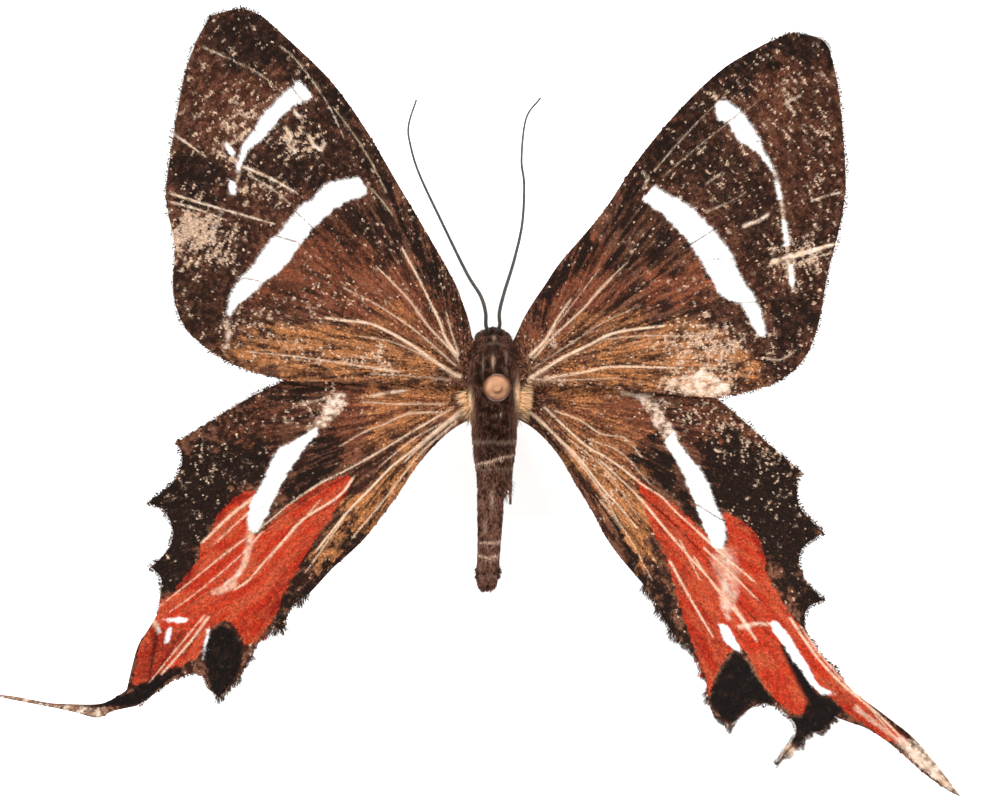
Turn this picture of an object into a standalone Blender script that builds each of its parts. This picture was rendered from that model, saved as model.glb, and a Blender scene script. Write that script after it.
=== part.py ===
"""Erateina moth, spread and pinned, as a life-size museum model in closed solids.

Plan shapes are drawn on a measuring grid of 0.05 mm, read by eye from the picture.
The pin's axis is the world's Z axis, the head points along +Y and the base stands on z = 0.
"""

import math

import bmesh
import bpy
from mathutils import Vector, geometry

for leftover in list(bpy.data.objects):
    bpy.data.objects.remove(leftover, do_unlink=True)

MM = 0.001
GRID_MM = 0.05
PIN_COLUMN = 497.0
PIN_ROW = 388.0

# Heights, in millimetres
BASE_SIDE = 14.0
BASE_HEIGHT = 9.0
BASE_BEVEL = 0.4
PIN_TIP_HEIGHT = 2.0
PIN_LENGTH = 38.0
PIN_RADIUS = 0.25
PIN_HEAD_RADIUS = 0.675
PIN_HEAD_HEIGHT = 0.95
WING_PLANE = 28.5
GAP = 0.3

# Body, in millimetres
BODY_X = -0.16
THORAX_TOP = 1.15
THORAX_UNDERSIDE = 1.35
THORAX_PROFILE = (
    (1.95, 0.95), (1.6, 1.14), (0.95, 1.33), (0.2, 1.34),
    (-0.8, 1.25), (-1.6, 1.17), (-2.3, 1.08), (-2.68, 0.92),
)
ABDOMEN_PROFILE = (
    (-2.98, 0.92, 0.0), (-3.5, 1.05, 0.01), (-4.1, 0.86, -0.06), (-5.0, 0.68, -0.17),
    (-6.2, 0.66, -0.18), (-7.4, 0.6, -0.22), (-8.4, 0.58, -0.27), (-9.3, 0.56, -0.33),
    (-9.9, 0.42, -0.36), (-10.12, 0.2, -0.37),
)
ABDOMEN_DROP = 0.55
HEAD_CENTRE = (-0.21, 2.68, -0.05)
HEAD_RADII = (0.56, 0.43, 0.62)
HEAD_SIDE = 0.33
EYE_RADII = (0.35, 0.41, 0.46)

# Wings, in millimetres
WING_THICKNESS = 0.5
WING_STEP = 0.93
TIP_LIFT = 1.0
WING_REACH = 17.0
WING_WAVE = 0.16
VEIN_TOP = 0.14
VEIN_UNDER = 0.08
VEIN_HALF_WIDTH = 0.14
VEIN_PITCH = 1.5
FILL_PITCH = 2.0
FILL_CLEAR = 0.7

# Limbs and feelers, in millimetres
ANTENNA_ROOT_RADIUS = 0.24
ANTENNA_TIP_RADIUS = 0.13
LEG_ROOT_RADIUS = 0.26
LEG_TIP_RADIUS = 0.18
PALP_RADIUS = 0.25
PROBOSCIS_RADIUS = 0.15
PROBOSCIS_COIL = 0.36


def on_grid(station):
    """The place in millimetres of a (column, row) station of the measuring grid."""
    column, row = station
    return Vector(((column - PIN_COLUMN) * GRID_MM, (PIN_ROW - row) * GRID_MM))


def spline(points, pitch):
    """Points about pitch apart on a Catmull-Rom curve through the given ones, ends included."""
    if len(points) < 3:
        start, end = points
        count = max(1, round((end - start).length / pitch))
        return [start.lerp(end, i / count) for i in range(count + 1)]
    ends = [points[0] * 2 - points[1], *points, points[-1] * 2 - points[-2]]
    curve = []
    for i in range(1, len(ends) - 2):
        before, start, end, after = ends[i - 1:i + 3]
        count = max(1, round((end - start).length / pitch))
        for step in range(count):
            t = step / count
            curve.append(
                0.5 * (
                    2 * start
                    + (end - before) * t
                    + (2 * before - 5 * start + 4 * end - after) * t ** 2
                    + (3 * start - before - 3 * end + after) * t ** 3
                )
            )
    curve.append(points[-1].copy())
    return curve


def profile_at(profile, y, column=1):
    """The value of a lengthwise profile at y, between its stations."""
    for first, second in zip(profile, profile[1:]):
        if second[0] <= y <= first[0]:
            share = (first[0] - y) / (first[0] - second[0])
            smooth = share * share * (3 - 2 * share)
            return first[column] + (second[column] - first[column]) * smooth
    return profile[0][column] if y > profile[0][0] else profile[-1][column]


def material(name, colour, roughness, metallic=0.0):
    """A plain Principled material."""
    made = bpy.data.materials.new(name)
    made.use_nodes = True
    shader = made.node_tree.nodes["Principled BSDF"]
    shader.inputs["Base Color"].default_value = (*colour, 1.0)
    shader.inputs["Roughness"].default_value = roughness
    shader.inputs["Metallic"].default_value = metallic
    return made


def node_from(name, points, faces, look):
    """A named object from points in millimetres and faces that turn outwards."""
    mesh = bpy.data.meshes.new(name)
    mesh.from_pydata([tuple(c * MM for c in p) for p in points], [], faces)
    mesh.update()
    shaped = bmesh.new()
    shaped.from_mesh(mesh)
    bmesh.ops.recalc_face_normals(shaped, faces=shaped.faces)
    shaped.to_mesh(mesh)
    shaped.free()
    mesh.materials.append(look)
    node = bpy.data.objects.new(name, mesh)
    bpy.context.scene.collection.objects.link(node)
    return node


def loft(rings):
    """Points and faces of a closed body through rings of as many points each."""
    sides = len(rings[0])
    points = [p for ring in rings for p in ring]
    faces = []
    for i in range(len(rings) - 1):
        for j in range(sides):
            k = (j + 1) % sides
            faces.append((i * sides + j, i * sides + k, (i + 1) * sides + k, (i + 1) * sides + j))
    faces.append(tuple(range(sides))[::-1])
    faces.append(tuple((len(rings) - 1) * sides + j for j in range(sides)))
    return points, faces


def superellipse(half_width, above, below, sides, power):
    """(across, up) offsets of a body's cross section, fuller than an ellipse."""
    section = []
    for i in range(sides):
        angle = 2 * math.pi * i / sides
        c, s = math.cos(angle), math.sin(angle)
        size = (abs(c) ** power + abs(s) ** power) ** (-1 / power)
        section.append((half_width * c * size, (above if s > 0 else below) * s * size))
    return section


def tube(path, radii, sides=8):
    """Points and faces of a closed tapered tube along a path of 3-D points."""
    rings = []
    across = None
    for i, place in enumerate(path):
        ahead = (path[min(i + 1, len(path) - 1)] - path[max(i - 1, 0)]).normalized()
        if across is None:
            across = ahead.orthogonal().normalized()
        across = (across - ahead * across.dot(ahead)).normalized()
        up = ahead.cross(across)
        ring = []
        for j in range(sides):
            angle = 2 * math.pi * j / sides
            ring.append(place + radii[i] * (math.cos(angle) * across + math.sin(angle) * up))
        rings.append(ring)
    return loft(rings)


def tapered(path, root, tip):
    """Radii that fall evenly from root to tip along a path."""
    last = len(path) - 1
    return [root + (tip - root) * i / last for i in range(len(path))]


def ellipsoid(centre, radii, segments=16, rings=10):
    """Points and faces of a closed ellipsoid."""
    ball = bmesh.new()
    bmesh.ops.create_uvsphere(ball, u_segments=segments, v_segments=rings, radius=1.0)
    ball.verts.ensure_lookup_table()
    points = [Vector(c + v * r for c, v, r in zip(centre, vert.co, radii)) for vert in ball.verts]
    faces = [tuple(v.index for v in face.verts) for face in ball.faces]
    ball.free()
    return points, faces


def keep_side(node, place, outward):
    """Cut a node flat at a plane in millimetres and close it, keeping what lies behind the plane."""
    shaped = bmesh.new()
    shaped.from_mesh(node.data)
    bmesh.ops.bisect_plane(
        shaped,
        geom=[*shaped.verts, *shaped.edges, *shaped.faces],
        plane_co=Vector(place) * MM,
        plane_no=Vector(outward),
        clear_outer=True,
    )
    rim = [edge for edge in shaped.edges if edge.is_boundary]
    bmesh.ops.contextual_create(shaped, geom=rim)
    bmesh.ops.recalc_face_normals(shaped, faces=shaped.faces)
    shaped.to_mesh(node.data)
    shaped.free()


def wing_height(x, y):
    """How far the spread wings stand over the wing plane at a place."""
    out = abs(x) / WING_REACH
    return TIP_LIFT * out ** 1.6 + WING_WAVE * out * math.sin(0.35 * y + 0.8)


def distance_to_line(place, line):
    """Distance from a place to a bent line in the plan."""
    best = math.inf
    for start, end in zip(line, line[1:]):
        along = end - start
        share = max(0.0, min(1.0, (place - start).dot(along) / along.length_squared))
        best = min(best, (start + along * share - place).length)
    return best


def inside(place, outline):
    """True if a place lies within a closed outline."""
    odd = False
    for a, b in zip(outline, [*outline[1:], outline[0]]):
        if (a.y > place.y) != (b.y > place.y):
            if place.x < (b.x - a.x) * (place.y - a.y) / (b.y - a.y) + a.x:
                odd = not odd
    return odd


def offset_line(line, shift):
    """A line beside another one, at an even distance to its left."""
    beside = []
    for i, place in enumerate(line):
        along = (line[min(i + 1, len(line) - 1)] - line[max(i - 1, 0)]).normalized()
        beside.append(place + Vector((-along.y, along.x)) * shift)
    return beside


def outline_of(runs):
    """A closed outline from runs of (pitch, stations) whose ends meet, without doubled points."""
    outline = []
    for pitch, stations in runs:
        for place in spline([on_grid(s) for s in stations], pitch):
            if not outline or (place - outline[-1]).length > 0.03:
                outline.append(place)
    while (outline[0] - outline[-1]).length < 0.03:
        outline.pop()
    return outline


def wing(name, runs, vein_stations, level, look):
    """A wing membrane whose veins are ridges of its own two faces, triangulated alike above and below."""
    outline = outline_of(runs)
    veins = [spline([on_grid(s) for s in stations], VEIN_PITCH) for stations in vein_stations]
    places = list(outline)
    edges = []
    for line in veins:
        for strand in (offset_line(line, VEIN_HALF_WIDTH), line, offset_line(line, -VEIN_HALF_WIDTH)):
            kept = [p for p in strand if inside(p, outline) and distance_to_line(p, outline) > 0.12]
            first = len(places)
            places.extend(kept)
            edges.extend((i, i + 1) for i in range(first, len(places) - 1))
    rim = [*outline, outline[0]]
    low_x, high_x = min(p.x for p in outline), max(p.x for p in outline)
    low_y, high_y = min(p.y for p in outline), max(p.y for p in outline)
    for i in range(int((high_x - low_x) / FILL_PITCH)):
        for j in range(int((high_y - low_y) / FILL_PITCH)):
            shift = 0.5 * (j % 2)
            place = Vector((low_x + (i + 0.5 + shift) * FILL_PITCH, low_y + (j + 0.5) * FILL_PITCH))
            if not inside(place, outline) or distance_to_line(place, rim) < FILL_CLEAR:
                continue
            if all(distance_to_line(place, line) > FILL_CLEAR for line in veins):
                places.append(place)
    flat, _, triangles, _, _, _ = geometry.delaunay_2d_cdt(
        places, edges, [list(range(len(outline)))], 1, 1e-4
    )
    points = []
    for side in (1, -1):
        ridge = VEIN_TOP if side > 0 else VEIN_UNDER
        for place in flat:
            near = min((distance_to_line(place, line) for line in veins), default=math.inf)
            raised = ridge * max(0.0, 1.0 - near / VEIN_HALF_WIDTH)
            middle = WING_PLANE + level + wing_height(place.x, place.y)
            points.append((place.x, place.y, middle + side * (WING_THICKNESS / 2 + raised)))
    under = len(flat)
    faces = [tuple(t) for t in triangles]
    uses = {}
    for a, b, c in triangles:
        for edge in ((a, b), (b, c), (c, a)):
            uses[tuple(sorted(edge))] = uses.get(tuple(sorted(edge)), 0) + 1
    rims = [e for t in triangles for e in ((t[0], t[1]), (t[1], t[2]), (t[2], t[0]))]
    rims = [e for e in rims if uses[tuple(sorted(e))] == 1]
    faces += [tuple(i + under for i in reversed(t)) for t in triangles]
    for a, b in rims:
        faces.append((b, a, a + under))
        faces.append((b, a + under, b + under))
    return node_from(name, points, faces, look)


def thorax_side(row, side):
    """Grid column at which a wing root stands the gap off the thorax's side, at a grid row."""
    y = (PIN_ROW - row) * GRID_MM
    x = BODY_X + side * (profile_at(THORAX_PROFILE, y) + GAP + 0.02)
    return x / GRID_MM + PIN_COLUMN


def root_edge(rows, side):
    """Grid stations of a wing root along the thorax's side."""
    return [(thorax_side(row, side), row) for row in rows]


BODY_BROWN = material("body_brown", (0.055, 0.03, 0.022), 0.85)
ABDOMEN_BROWN = material("abdomen_brown", (0.11, 0.065, 0.05), 0.85)
HEAD_BROWN = material("head_brown", (0.05, 0.028, 0.02), 0.85)
EYE_DARK = material("eye_dark", (0.02, 0.014, 0.01), 0.25)
ANTENNA_GREY = material("antenna_grey", (0.06, 0.05, 0.045), 0.6)
FOREWING_BROWN = material("forewing_brown", (0.09, 0.045, 0.032), 0.7)
HINDWING_BROWN = material("hindwing_brown", (0.12, 0.05, 0.03), 0.7)
LEG_BROWN = material("leg_brown", (0.1, 0.06, 0.045), 0.7)
PALP_BROWN = material("palp_brown", (0.08, 0.045, 0.03), 0.8)
PROBOSCIS_TAN = material("proboscis_tan", (0.25, 0.13, 0.06), 0.5)
PIN_STEEL = material("pin_steel", (0.62, 0.6, 0.57), 0.3, 1.0)
PIN_BRASS = material("pin_brass", (0.78, 0.5, 0.3), 0.25, 1.0)
BASE_WHITE = material("base_white", (0.9, 0.9, 0.88), 0.6)

FOREWING_LEFT_RUNS = (
    (1.1, ((460, 330), (457, 288), (431, 241), (398, 184), (363, 125), (330, 80), (290, 41), (260, 14))),
    (0.5, ((260, 14), (244, 8.6), (230, 10), (209.7, 16))),
    (1.2, ((209.7, 16), (197, 42), (184.4, 74), (177, 111), (170.7, 153), (164, 207), (174, 250))),
    (1.0, ((174, 250), (173, 278), (179.5, 320), (195, 340), (214.5, 354), (256, 372), (287, 378))),
    (2.4, ((287, 378), (340, 381), (400, 384), (452, 386))),
    (0.6, ((452, 386), *root_edge((384, 371, 356), -1), (464, 341), (460, 330))),
)
FOREWING_RIGHT_RUNS = (
    (1.1, ((524, 325), (541, 292), (561, 262), (602, 213), (640, 157), (682, 107), (724, 68), (770, 41))),
    (0.6, ((770, 41), (791, 33), (806, 34.6), (822, 39.6), (829, 48))),
    (1.2, ((829, 48), (838.5, 90), (843, 139), (845, 180), (843, 215), (829, 262), (820, 312))),
    (1.0, ((820, 312), (814.6, 335), (807, 351.6), (795, 365), (763, 384), (719, 396.4))),
    (2.4, ((719, 396.4), (660, 393), (600, 389), (538, 386))),
    (0.6, ((538, 386), *root_edge((384, 371, 356), 1), (518, 341), (524, 325))),
)
HINDWING_LEFT_RUNS = (
    (1.8, ((452, 384), (425, 371), (380, 363), (330, 363), (300, 371), (285, 380))),
    (0.9, ((285, 380), (249, 399), (217.6, 418.5), (176, 444))),
    (0.5, ((176, 444), (182, 453.6), (180, 467), (171, 483), (147, 503))),
    (0.5, ((147, 503), (163, 511), (172, 531), (167, 550), (149.5, 567))),
    (0.6, ((149.5, 567), (160, 578), (160, 595), (157.6, 614))),
    (0.7, ((157.6, 614), (149.5, 631), (141.5, 644), (137, 663), (131, 690))),
    (1.0, ((131, 690), (98, 698), (93, 705), (60, 702.5), (23, 695), (1, 692.5))),
    (1.0, ((1, 692.5), (1, 697), (23, 703.5), (60, 713), (100, 721), (109, 717), (104, 709), (138, 702))),
    (0.6, ((138, 702), (164, 682), (182, 670), (201, 666), (210, 686), (218, 697))),
    (0.6, ((218, 697), (239, 676), (256, 645), (270, 631), (281.5, 628), (290, 606), (310, 590))),
    (2.0, ((310, 590), (335, 565), (355, 540), (380, 500), (405, 465), (430, 443.5), (452, 420))),
    (0.6, ((452, 420), *root_edge((414, 404, 394), -1), (452, 384))),
)
HINDWING_RIGHT_RUNS = (
    (1.8, ((536, 384), (562, 372), (610, 364), (670, 366), (705, 380), (716.5, 399))),
    (0.9, ((716.5, 399), (742, 421), (768, 445), (801, 473))),
    (0.5, ((801, 473), (797, 484), (800, 506), (812, 520), (824, 533))),
    (0.5, ((824, 533), (803, 549), (801, 568), (810, 586), (825, 600))),
    (0.6, ((825, 600), (808, 609), (806, 628), (819, 651), (840, 674))),
    (1.0, ((840, 674), (853, 691), (881, 712), (910, 735), (931, 758), (960, 796))),
    (1.0, ((960, 796), (946, 788), (920, 769), (891, 744), (857, 720), (836, 713))),
    (0.7, ((836, 713), (822, 728), (800, 747), (776, 762))),
    (0.7, ((776, 762), (799, 738), (793, 722), (772, 704), (755, 703), (742, 712), (730, 724))),
    (0.6, ((730, 724), (711, 708), (704, 673), (689, 649), (673, 633), (657, 605), (640, 580))),
    (2.0, ((640, 580), (615, 545), (600, 515), (585, 485), (560, 450), (538, 421))),
    (0.6, ((538, 421), *root_edge((414, 404, 394), 1), (536, 384))),
)

FOREWING_LEFT_VEINS = (
    ((449, 350), (427, 312), (400, 264), (372, 213), (340, 156), (305, 98), (262, 34)),
    ((372, 213), (335, 168), (290, 112), (222, 32)),
    ((448, 360), (427, 328), (394, 284), (362, 250), (336, 232)),
    ((336, 232), (313, 228), (295, 211), (245, 150), (194, 84)),
    ((338, 262), (293, 241), (276, 236), (222, 206), (176, 172)),
    ((340, 296), (300, 288), (254, 280), (205, 266), (182, 254)),
    ((336, 232), (339, 262), (340, 296), (341, 321)),
    ((450, 371), (410, 344), (371, 324), (341, 321), (290, 320), (235, 320), (188, 312)),
    ((390, 333), (350, 345), (300, 349), (250, 352), (216, 346)),
    ((452, 377), (400, 371), (340, 368), (286, 368)),
)
FOREWING_RIGHT_VEINS = (
    ((541, 345), (568, 300), (600, 242), (644, 176), (690, 122), (740, 79), (800, 46)),
    ((644, 176), (700, 128), (760, 88), (824, 62)),
    ((546, 352), (568, 323), (594, 297), (625, 264), (655, 242)),
    ((655, 242), (693, 243), (713, 230), (765, 190), (834, 130)),
    ((657, 264), (713, 259), (731, 259), (785, 245), (834, 222)),
    ((655, 294), (700, 300), (760, 302), (818, 298)),
    ((655, 242), (657, 264), (655, 294), (650, 328)),
    ((545, 370), (564, 357), (589, 345), (611, 334), (650, 328), (700, 332), (750, 336), (806, 334)),
    ((589, 345), (640, 352), (700, 360), (760, 364), (796, 356)),
    ((548, 376), (585, 371), (641, 367), (700, 378), (752, 382)),
)
HINDWING_LEFT_VEINS = (
    ((441, 404), (383, 405), (320, 405), (250, 410), (190, 436)),
    ((440, 408), (383, 422), (364, 432), (300, 446), (240, 458), (186, 452)),
    ((364, 432), (310, 466), (240, 490), (168, 500)),
    ((441, 413), (405, 434), (372, 456), (319, 484), (267, 522), (215, 548), (160, 567)),
    ((372, 456), (353, 478), (338, 496), (302, 512), (264, 557), (215, 588), (166, 606)),
    ((444, 417), (414, 446), (390, 468), (350, 509), (316, 551), (262, 604), (200, 654), (146, 692)),
    ((414, 446), (372, 487), (334, 530), (298, 580), (258, 626), (224, 678)),
)
HINDWING_RIGHT_VEINS = (
    ((544, 402), (620, 404), (690, 408), (735, 424), (780, 464)),
    ((546, 406), (580, 420), (601, 434), (650, 446), (720, 466), (790, 500)),
    ((601, 434), (641, 456), (690, 495), (717, 517), (760, 532), (812, 534)),
    ((545, 412), (585, 445), (628, 473), (675, 511), (718, 548), (766, 576), (812, 594)),
    ((604, 460), (634, 492), (680, 545), (730, 592), (780, 640), (832, 690), (857, 706), (914, 752)),
    ((544, 419), (574, 453), (604, 490), (637, 530), (668, 585), (700, 640), (726, 706)),
    ((668, 585), (710, 620), (750, 664), (782, 700)),
)

wing("forewing_left", FOREWING_LEFT_RUNS, FOREWING_LEFT_VEINS, WING_STEP / 2, FOREWING_BROWN)
wing("forewing_right", FOREWING_RIGHT_RUNS, FOREWING_RIGHT_VEINS, WING_STEP / 2, FOREWING_BROWN)
wing("hindwing_left", HINDWING_LEFT_RUNS, HINDWING_LEFT_VEINS, -WING_STEP / 2, HINDWING_BROWN)
wing("hindwing_right", HINDWING_RIGHT_RUNS, HINDWING_RIGHT_VEINS, -WING_STEP / 2, HINDWING_BROWN)

# Thorax
THORAX_SIDES = 20
THORAX_RINGS = 13
thorax_rings = []
for ring_index in range(THORAX_RINGS):
    turn = math.pi * ring_index / (THORAX_RINGS - 1)
    front, rear = THORAX_PROFILE[0][0], THORAX_PROFILE[-1][0]
    ring_y = (front + rear) / 2 + (front - rear) / 2 * math.cos(turn)
    half_width = profile_at(THORAX_PROFILE, ring_y)
    fullness = 0.68 + 0.32 * math.sin(turn) ** 0.6
    outer = superellipse(half_width, THORAX_TOP * fullness, THORAX_UNDERSIDE * fullness, THORAX_SIDES, 2.8)
    thorax_rings.append([(BODY_X + across, ring_y, WING_PLANE + up) for across, up in outer])
node_from("thorax", *loft(thorax_rings), BODY_BROWN)

# Abdomen
ABDOMEN_SIDES = 18
ABDOMEN_RINGS = 18
abdomen_rings = []
for ring_index in range(ABDOMEN_RINGS):
    share = ring_index / (ABDOMEN_RINGS - 1)
    front, rear = ABDOMEN_PROFILE[0][0], ABDOMEN_PROFILE[-1][0]
    ring_y = front + (rear - front) * share
    half_width = profile_at(ABDOMEN_PROFILE, ring_y)
    ring_x = BODY_X + profile_at(ABDOMEN_PROFILE, ring_y, 2)
    height = half_width * 0.95
    drop = ABDOMEN_DROP * share ** 1.5
    outer = superellipse(half_width, height, height, ABDOMEN_SIDES, 2.2)
    abdomen_rings.append([(ring_x + across, ring_y, WING_PLANE - 0.1 - drop + up) for across, up in outer])
node_from("abdomen", *loft(abdomen_rings), ABDOMEN_BROWN)

# Head and eyes
head_middle = (HEAD_CENTRE[0], HEAD_CENTRE[1], WING_PLANE + HEAD_CENTRE[2])
head = node_from("head", *ellipsoid(head_middle, HEAD_RADII, 20, 14), HEAD_BROWN)
for side, word in ((-1, "left"), (1, "right")):
    keep_side(head, (head_middle[0] + side * HEAD_SIDE, 0, 0), (side, 0, 0))
    flat_x = head_middle[0] + side * (HEAD_SIDE + GAP)
    eye_shape = ellipsoid((flat_x, head_middle[1], head_middle[2]), EYE_RADII, 18, 12)
    eye = node_from(f"eye_{word}", *eye_shape, EYE_DARK)
    keep_side(eye, (flat_x, 0, 0), (-side, 0, 0))

# Antennae
ANTENNA_STATIONS = {
    "left": ((484, 312), (480, 296), (467, 274), (443, 225), (420, 176), (411, 147), (409, 127), (416.7, 101)),
    "right": ((502, 312), (506, 290), (514, 261), (522, 225), (524, 186), (521.4, 160), (526, 120), (540.5, 99)),
}
ANTENNA_RISE = 1.5
ANTENNA_START = 0.85
ANTENNA_SPREAD = 0.39
for word, stations in ANTENNA_STATIONS.items():
    plan = [on_grid(s) for s in stations]
    side = -1 if word == "left" else 1
    root = Vector((head_middle[0] + side * ANTENNA_SPREAD, head_middle[1] + 0.3, WING_PLANE + ANTENNA_START))
    bend = root + Vector((side * 0.05, 0.22, 0.3))
    knots = [root, bend]
    for i, place in enumerate(plan):
        share = (i + 1) / len(plan)
        rise = ANTENNA_RISE * math.sin(math.pi * share * 0.75)
        knots.append(Vector((place.x, place.y, WING_PLANE + ANTENNA_START + 0.35 + rise)))
    path = spline(knots, 0.75)
    radii = tapered(path, ANTENNA_ROOT_RADIUS, ANTENNA_TIP_RADIUS)
    node_from(f"antenna_{word}", *tube(path, radii, 7), ANTENNA_GREY)

# Palps and coiled tongue
PALP_SPREAD = 0.6
for side, word in ((-1, "left"), (1, "right")):
    palp_root = Vector((head_middle[0] + side * PALP_SPREAD, head_middle[1] + 0.05, head_middle[2] - 0.95))
    knots = [
        palp_root,
        palp_root + Vector((side * 0.02, 0.12, -0.3)),
        palp_root + Vector((side * 0.02, 0.27, -0.62)),
    ]
    path = spline(knots, 0.2)
    node_from(f"palp_{word}", *tube(path, tapered(path, PALP_RADIUS, 0.14), 8), PALP_BROWN)

COIL_STEPS = 18
COIL_TURN = math.radians(305)
coil_centre = Vector((head_middle[0], head_middle[1] + 0.12, head_middle[2] - HEAD_RADII[2] - GAP - 0.52))
coil_path = []
for step in range(COIL_STEPS + 1):
    angle = math.radians(110) - COIL_TURN * step / COIL_STEPS
    radius = PROBOSCIS_COIL - 0.06 * step / COIL_STEPS
    coil_path.append(coil_centre + Vector((0, math.cos(angle), math.sin(angle))) * radius)
coil_radii = tapered(coil_path, PROBOSCIS_RADIUS, 0.09)
node_from("proboscis", *tube(coil_path, coil_radii, 6), PROBOSCIS_TAN)

# Legs, folded under the body
LEG_KNOTS = {
    "front": (
        (0.5, 1.15, -1.66), (0.62, 1.35, -2.0), (0.78, 2.2, -2.35),
        (0.6, 2.7, -2.75), (0.42, 1.9, -3.2), (0.42, 0.75, -3.3),
    ),
    "mid": (
        (0.55, -0.85, -1.66), (0.75, -0.8, -2.0), (1.0, -0.3, -2.6),
        (0.98, -0.95, -3.2), (0.85, -2.2, -3.35), (0.55, -3.9, -3.2),
    ),
    "hind": (
        (0.45, -1.85, -1.66), (0.55, -2.0, -2.0), (0.8, -2.9, -2.3),
        (0.62, -4.6, -2.15), (0.45, -6.6, -2.0),
    ),
}
RIGHT_HIND_KNOTS = (
    (0.45, -1.85, -1.66), (0.6, -2.05, -2.0), (0.95, -2.9, -2.1), (0.85, -4.4, -1.6), (0.83, -5.85, -1.5),
)
for side, word in ((-1, "left"), (1, "right")):
    for pair, stations in LEG_KNOTS.items():
        used = RIGHT_HIND_KNOTS if (pair, word) == ("hind", "right") else stations
        knots = [Vector((BODY_X + side * x, y, WING_PLANE + z)) for x, y, z in used]
        path = spline(knots, 0.45)
        radii = tapered(path, LEG_ROOT_RADIUS, LEG_TIP_RADIUS)
        node_from(f"leg_{pair}_{word}", *tube(path, radii, 8), LEG_BROWN)

# Pin above and below the thorax, and the block it stands in
PIN_SIDES = 16


def turned(profile, sides):
    """Points and faces of a closed body turned about the Z axis from (radius, height) stations."""
    rings = []
    for radius, height in profile:
        angles = [2 * math.pi * i / sides for i in range(sides)]
        rings.append([(radius * math.cos(a), radius * math.sin(a), height) for a in angles])
    return loft(rings)


pin_top = PIN_TIP_HEIGHT + PIN_LENGTH
head_low = pin_top - PIN_HEAD_HEIGHT
upper_profile = [(PIN_RADIUS, WING_PLANE + THORAX_TOP + GAP), (PIN_RADIUS, head_low)]
HEAD_STEPS = 8
for step in range(1, HEAD_STEPS):
    turn = math.pi * step / HEAD_STEPS
    height = head_low + PIN_HEAD_HEIGHT / 2 * (1 - math.cos(turn))
    upper_profile.append((max(PIN_RADIUS, PIN_HEAD_RADIUS * math.sin(turn)), height))
upper_profile.append((0.16, pin_top))
upper_points, upper_faces = turned(upper_profile, PIN_SIDES)
upper = node_from("stand_pin_upper", upper_points, upper_faces, PIN_STEEL)
upper.data.materials.append(PIN_BRASS)
for face in upper.data.polygons:
    face.material_index = int(face.center.z > (head_low + 0.02) * MM)
lower_profile = [(PIN_RADIUS, BASE_HEIGHT + GAP), (PIN_RADIUS, WING_PLANE - THORAX_UNDERSIDE - GAP)]
node_from("stand_pin_lower", *turned(lower_profile, PIN_SIDES), PIN_STEEL)

half, low = BASE_SIDE / 2, BASE_SIDE / 2 - BASE_BEVEL
block_rings = []
for reach, height in ((low, 0.0), (half, BASE_BEVEL), (half, BASE_HEIGHT - BASE_BEVEL), (low, BASE_HEIGHT)):
    block_rings.append([(x * reach, y * reach, height) for x, y in ((1, 1), (-1, 1), (-1, -1), (1, -1))])
node_from("stand_base", *loft(block_rings), BASE_WHITE)
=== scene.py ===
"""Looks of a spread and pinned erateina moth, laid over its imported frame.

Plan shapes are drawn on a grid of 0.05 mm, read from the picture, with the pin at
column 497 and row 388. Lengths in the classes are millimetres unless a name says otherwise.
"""

from __future__ import annotations

import logging
import math
from dataclasses import dataclass, field
from enum import Enum

import bpy
import numpy as np
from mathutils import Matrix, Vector, geometry

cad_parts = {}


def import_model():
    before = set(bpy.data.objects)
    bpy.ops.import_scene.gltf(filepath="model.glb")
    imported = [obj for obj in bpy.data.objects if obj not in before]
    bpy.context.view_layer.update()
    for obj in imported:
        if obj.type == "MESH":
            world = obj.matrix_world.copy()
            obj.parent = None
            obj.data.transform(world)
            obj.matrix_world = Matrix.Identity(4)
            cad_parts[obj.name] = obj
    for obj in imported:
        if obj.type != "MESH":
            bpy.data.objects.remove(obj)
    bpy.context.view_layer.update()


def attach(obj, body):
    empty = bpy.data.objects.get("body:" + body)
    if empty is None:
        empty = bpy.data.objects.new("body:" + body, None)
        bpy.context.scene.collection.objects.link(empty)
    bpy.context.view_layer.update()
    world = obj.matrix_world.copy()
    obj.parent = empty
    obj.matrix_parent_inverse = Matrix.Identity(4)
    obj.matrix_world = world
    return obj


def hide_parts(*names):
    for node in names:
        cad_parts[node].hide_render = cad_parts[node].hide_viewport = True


LOG = logging.getLogger("moth")
MM = 0.001
GRID_MM = 0.05
PIN_COLUMN = 497.0
PIN_ROW = 388.0
WING_PLANE = 28.5
WING_REACH = 17.0
TIP_LIFT = 1.0
TIP_BEND = 1.6
WAVE_HEIGHT = 0.16
WAVE_TURN = 0.35
WAVE_START = 0.8
HEAD_MIDDLE = np.array((-0.21, 0.0, WING_PLANE))
LEGS_MIDDLE = np.array((-0.16, 0.0, WING_PLANE))
STUDIO_GAIN = 1.75
BAKE_PATCH = 0.003
BODY = "root"

Station = tuple[float, float]
Run = tuple[float, tuple[Station, ...]]


class Side(Enum):
    """Which side of the moth a piece is on, as seen from above."""

    LEFT = -1
    RIGHT = 1

    @property
    def word(self) -> str:
        """The side's word in a node's name."""
        return self.name.lower()

    def turned(self, out: float, ahead: float, up: float) -> np.ndarray:
        """A step that leads out on this side of the body."""
        return np.array((self.value * out, ahead, up))


class Face(Enum):
    """Which face of a wing a coat lies on."""

    TOP = 1
    UNDER = -1


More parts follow.
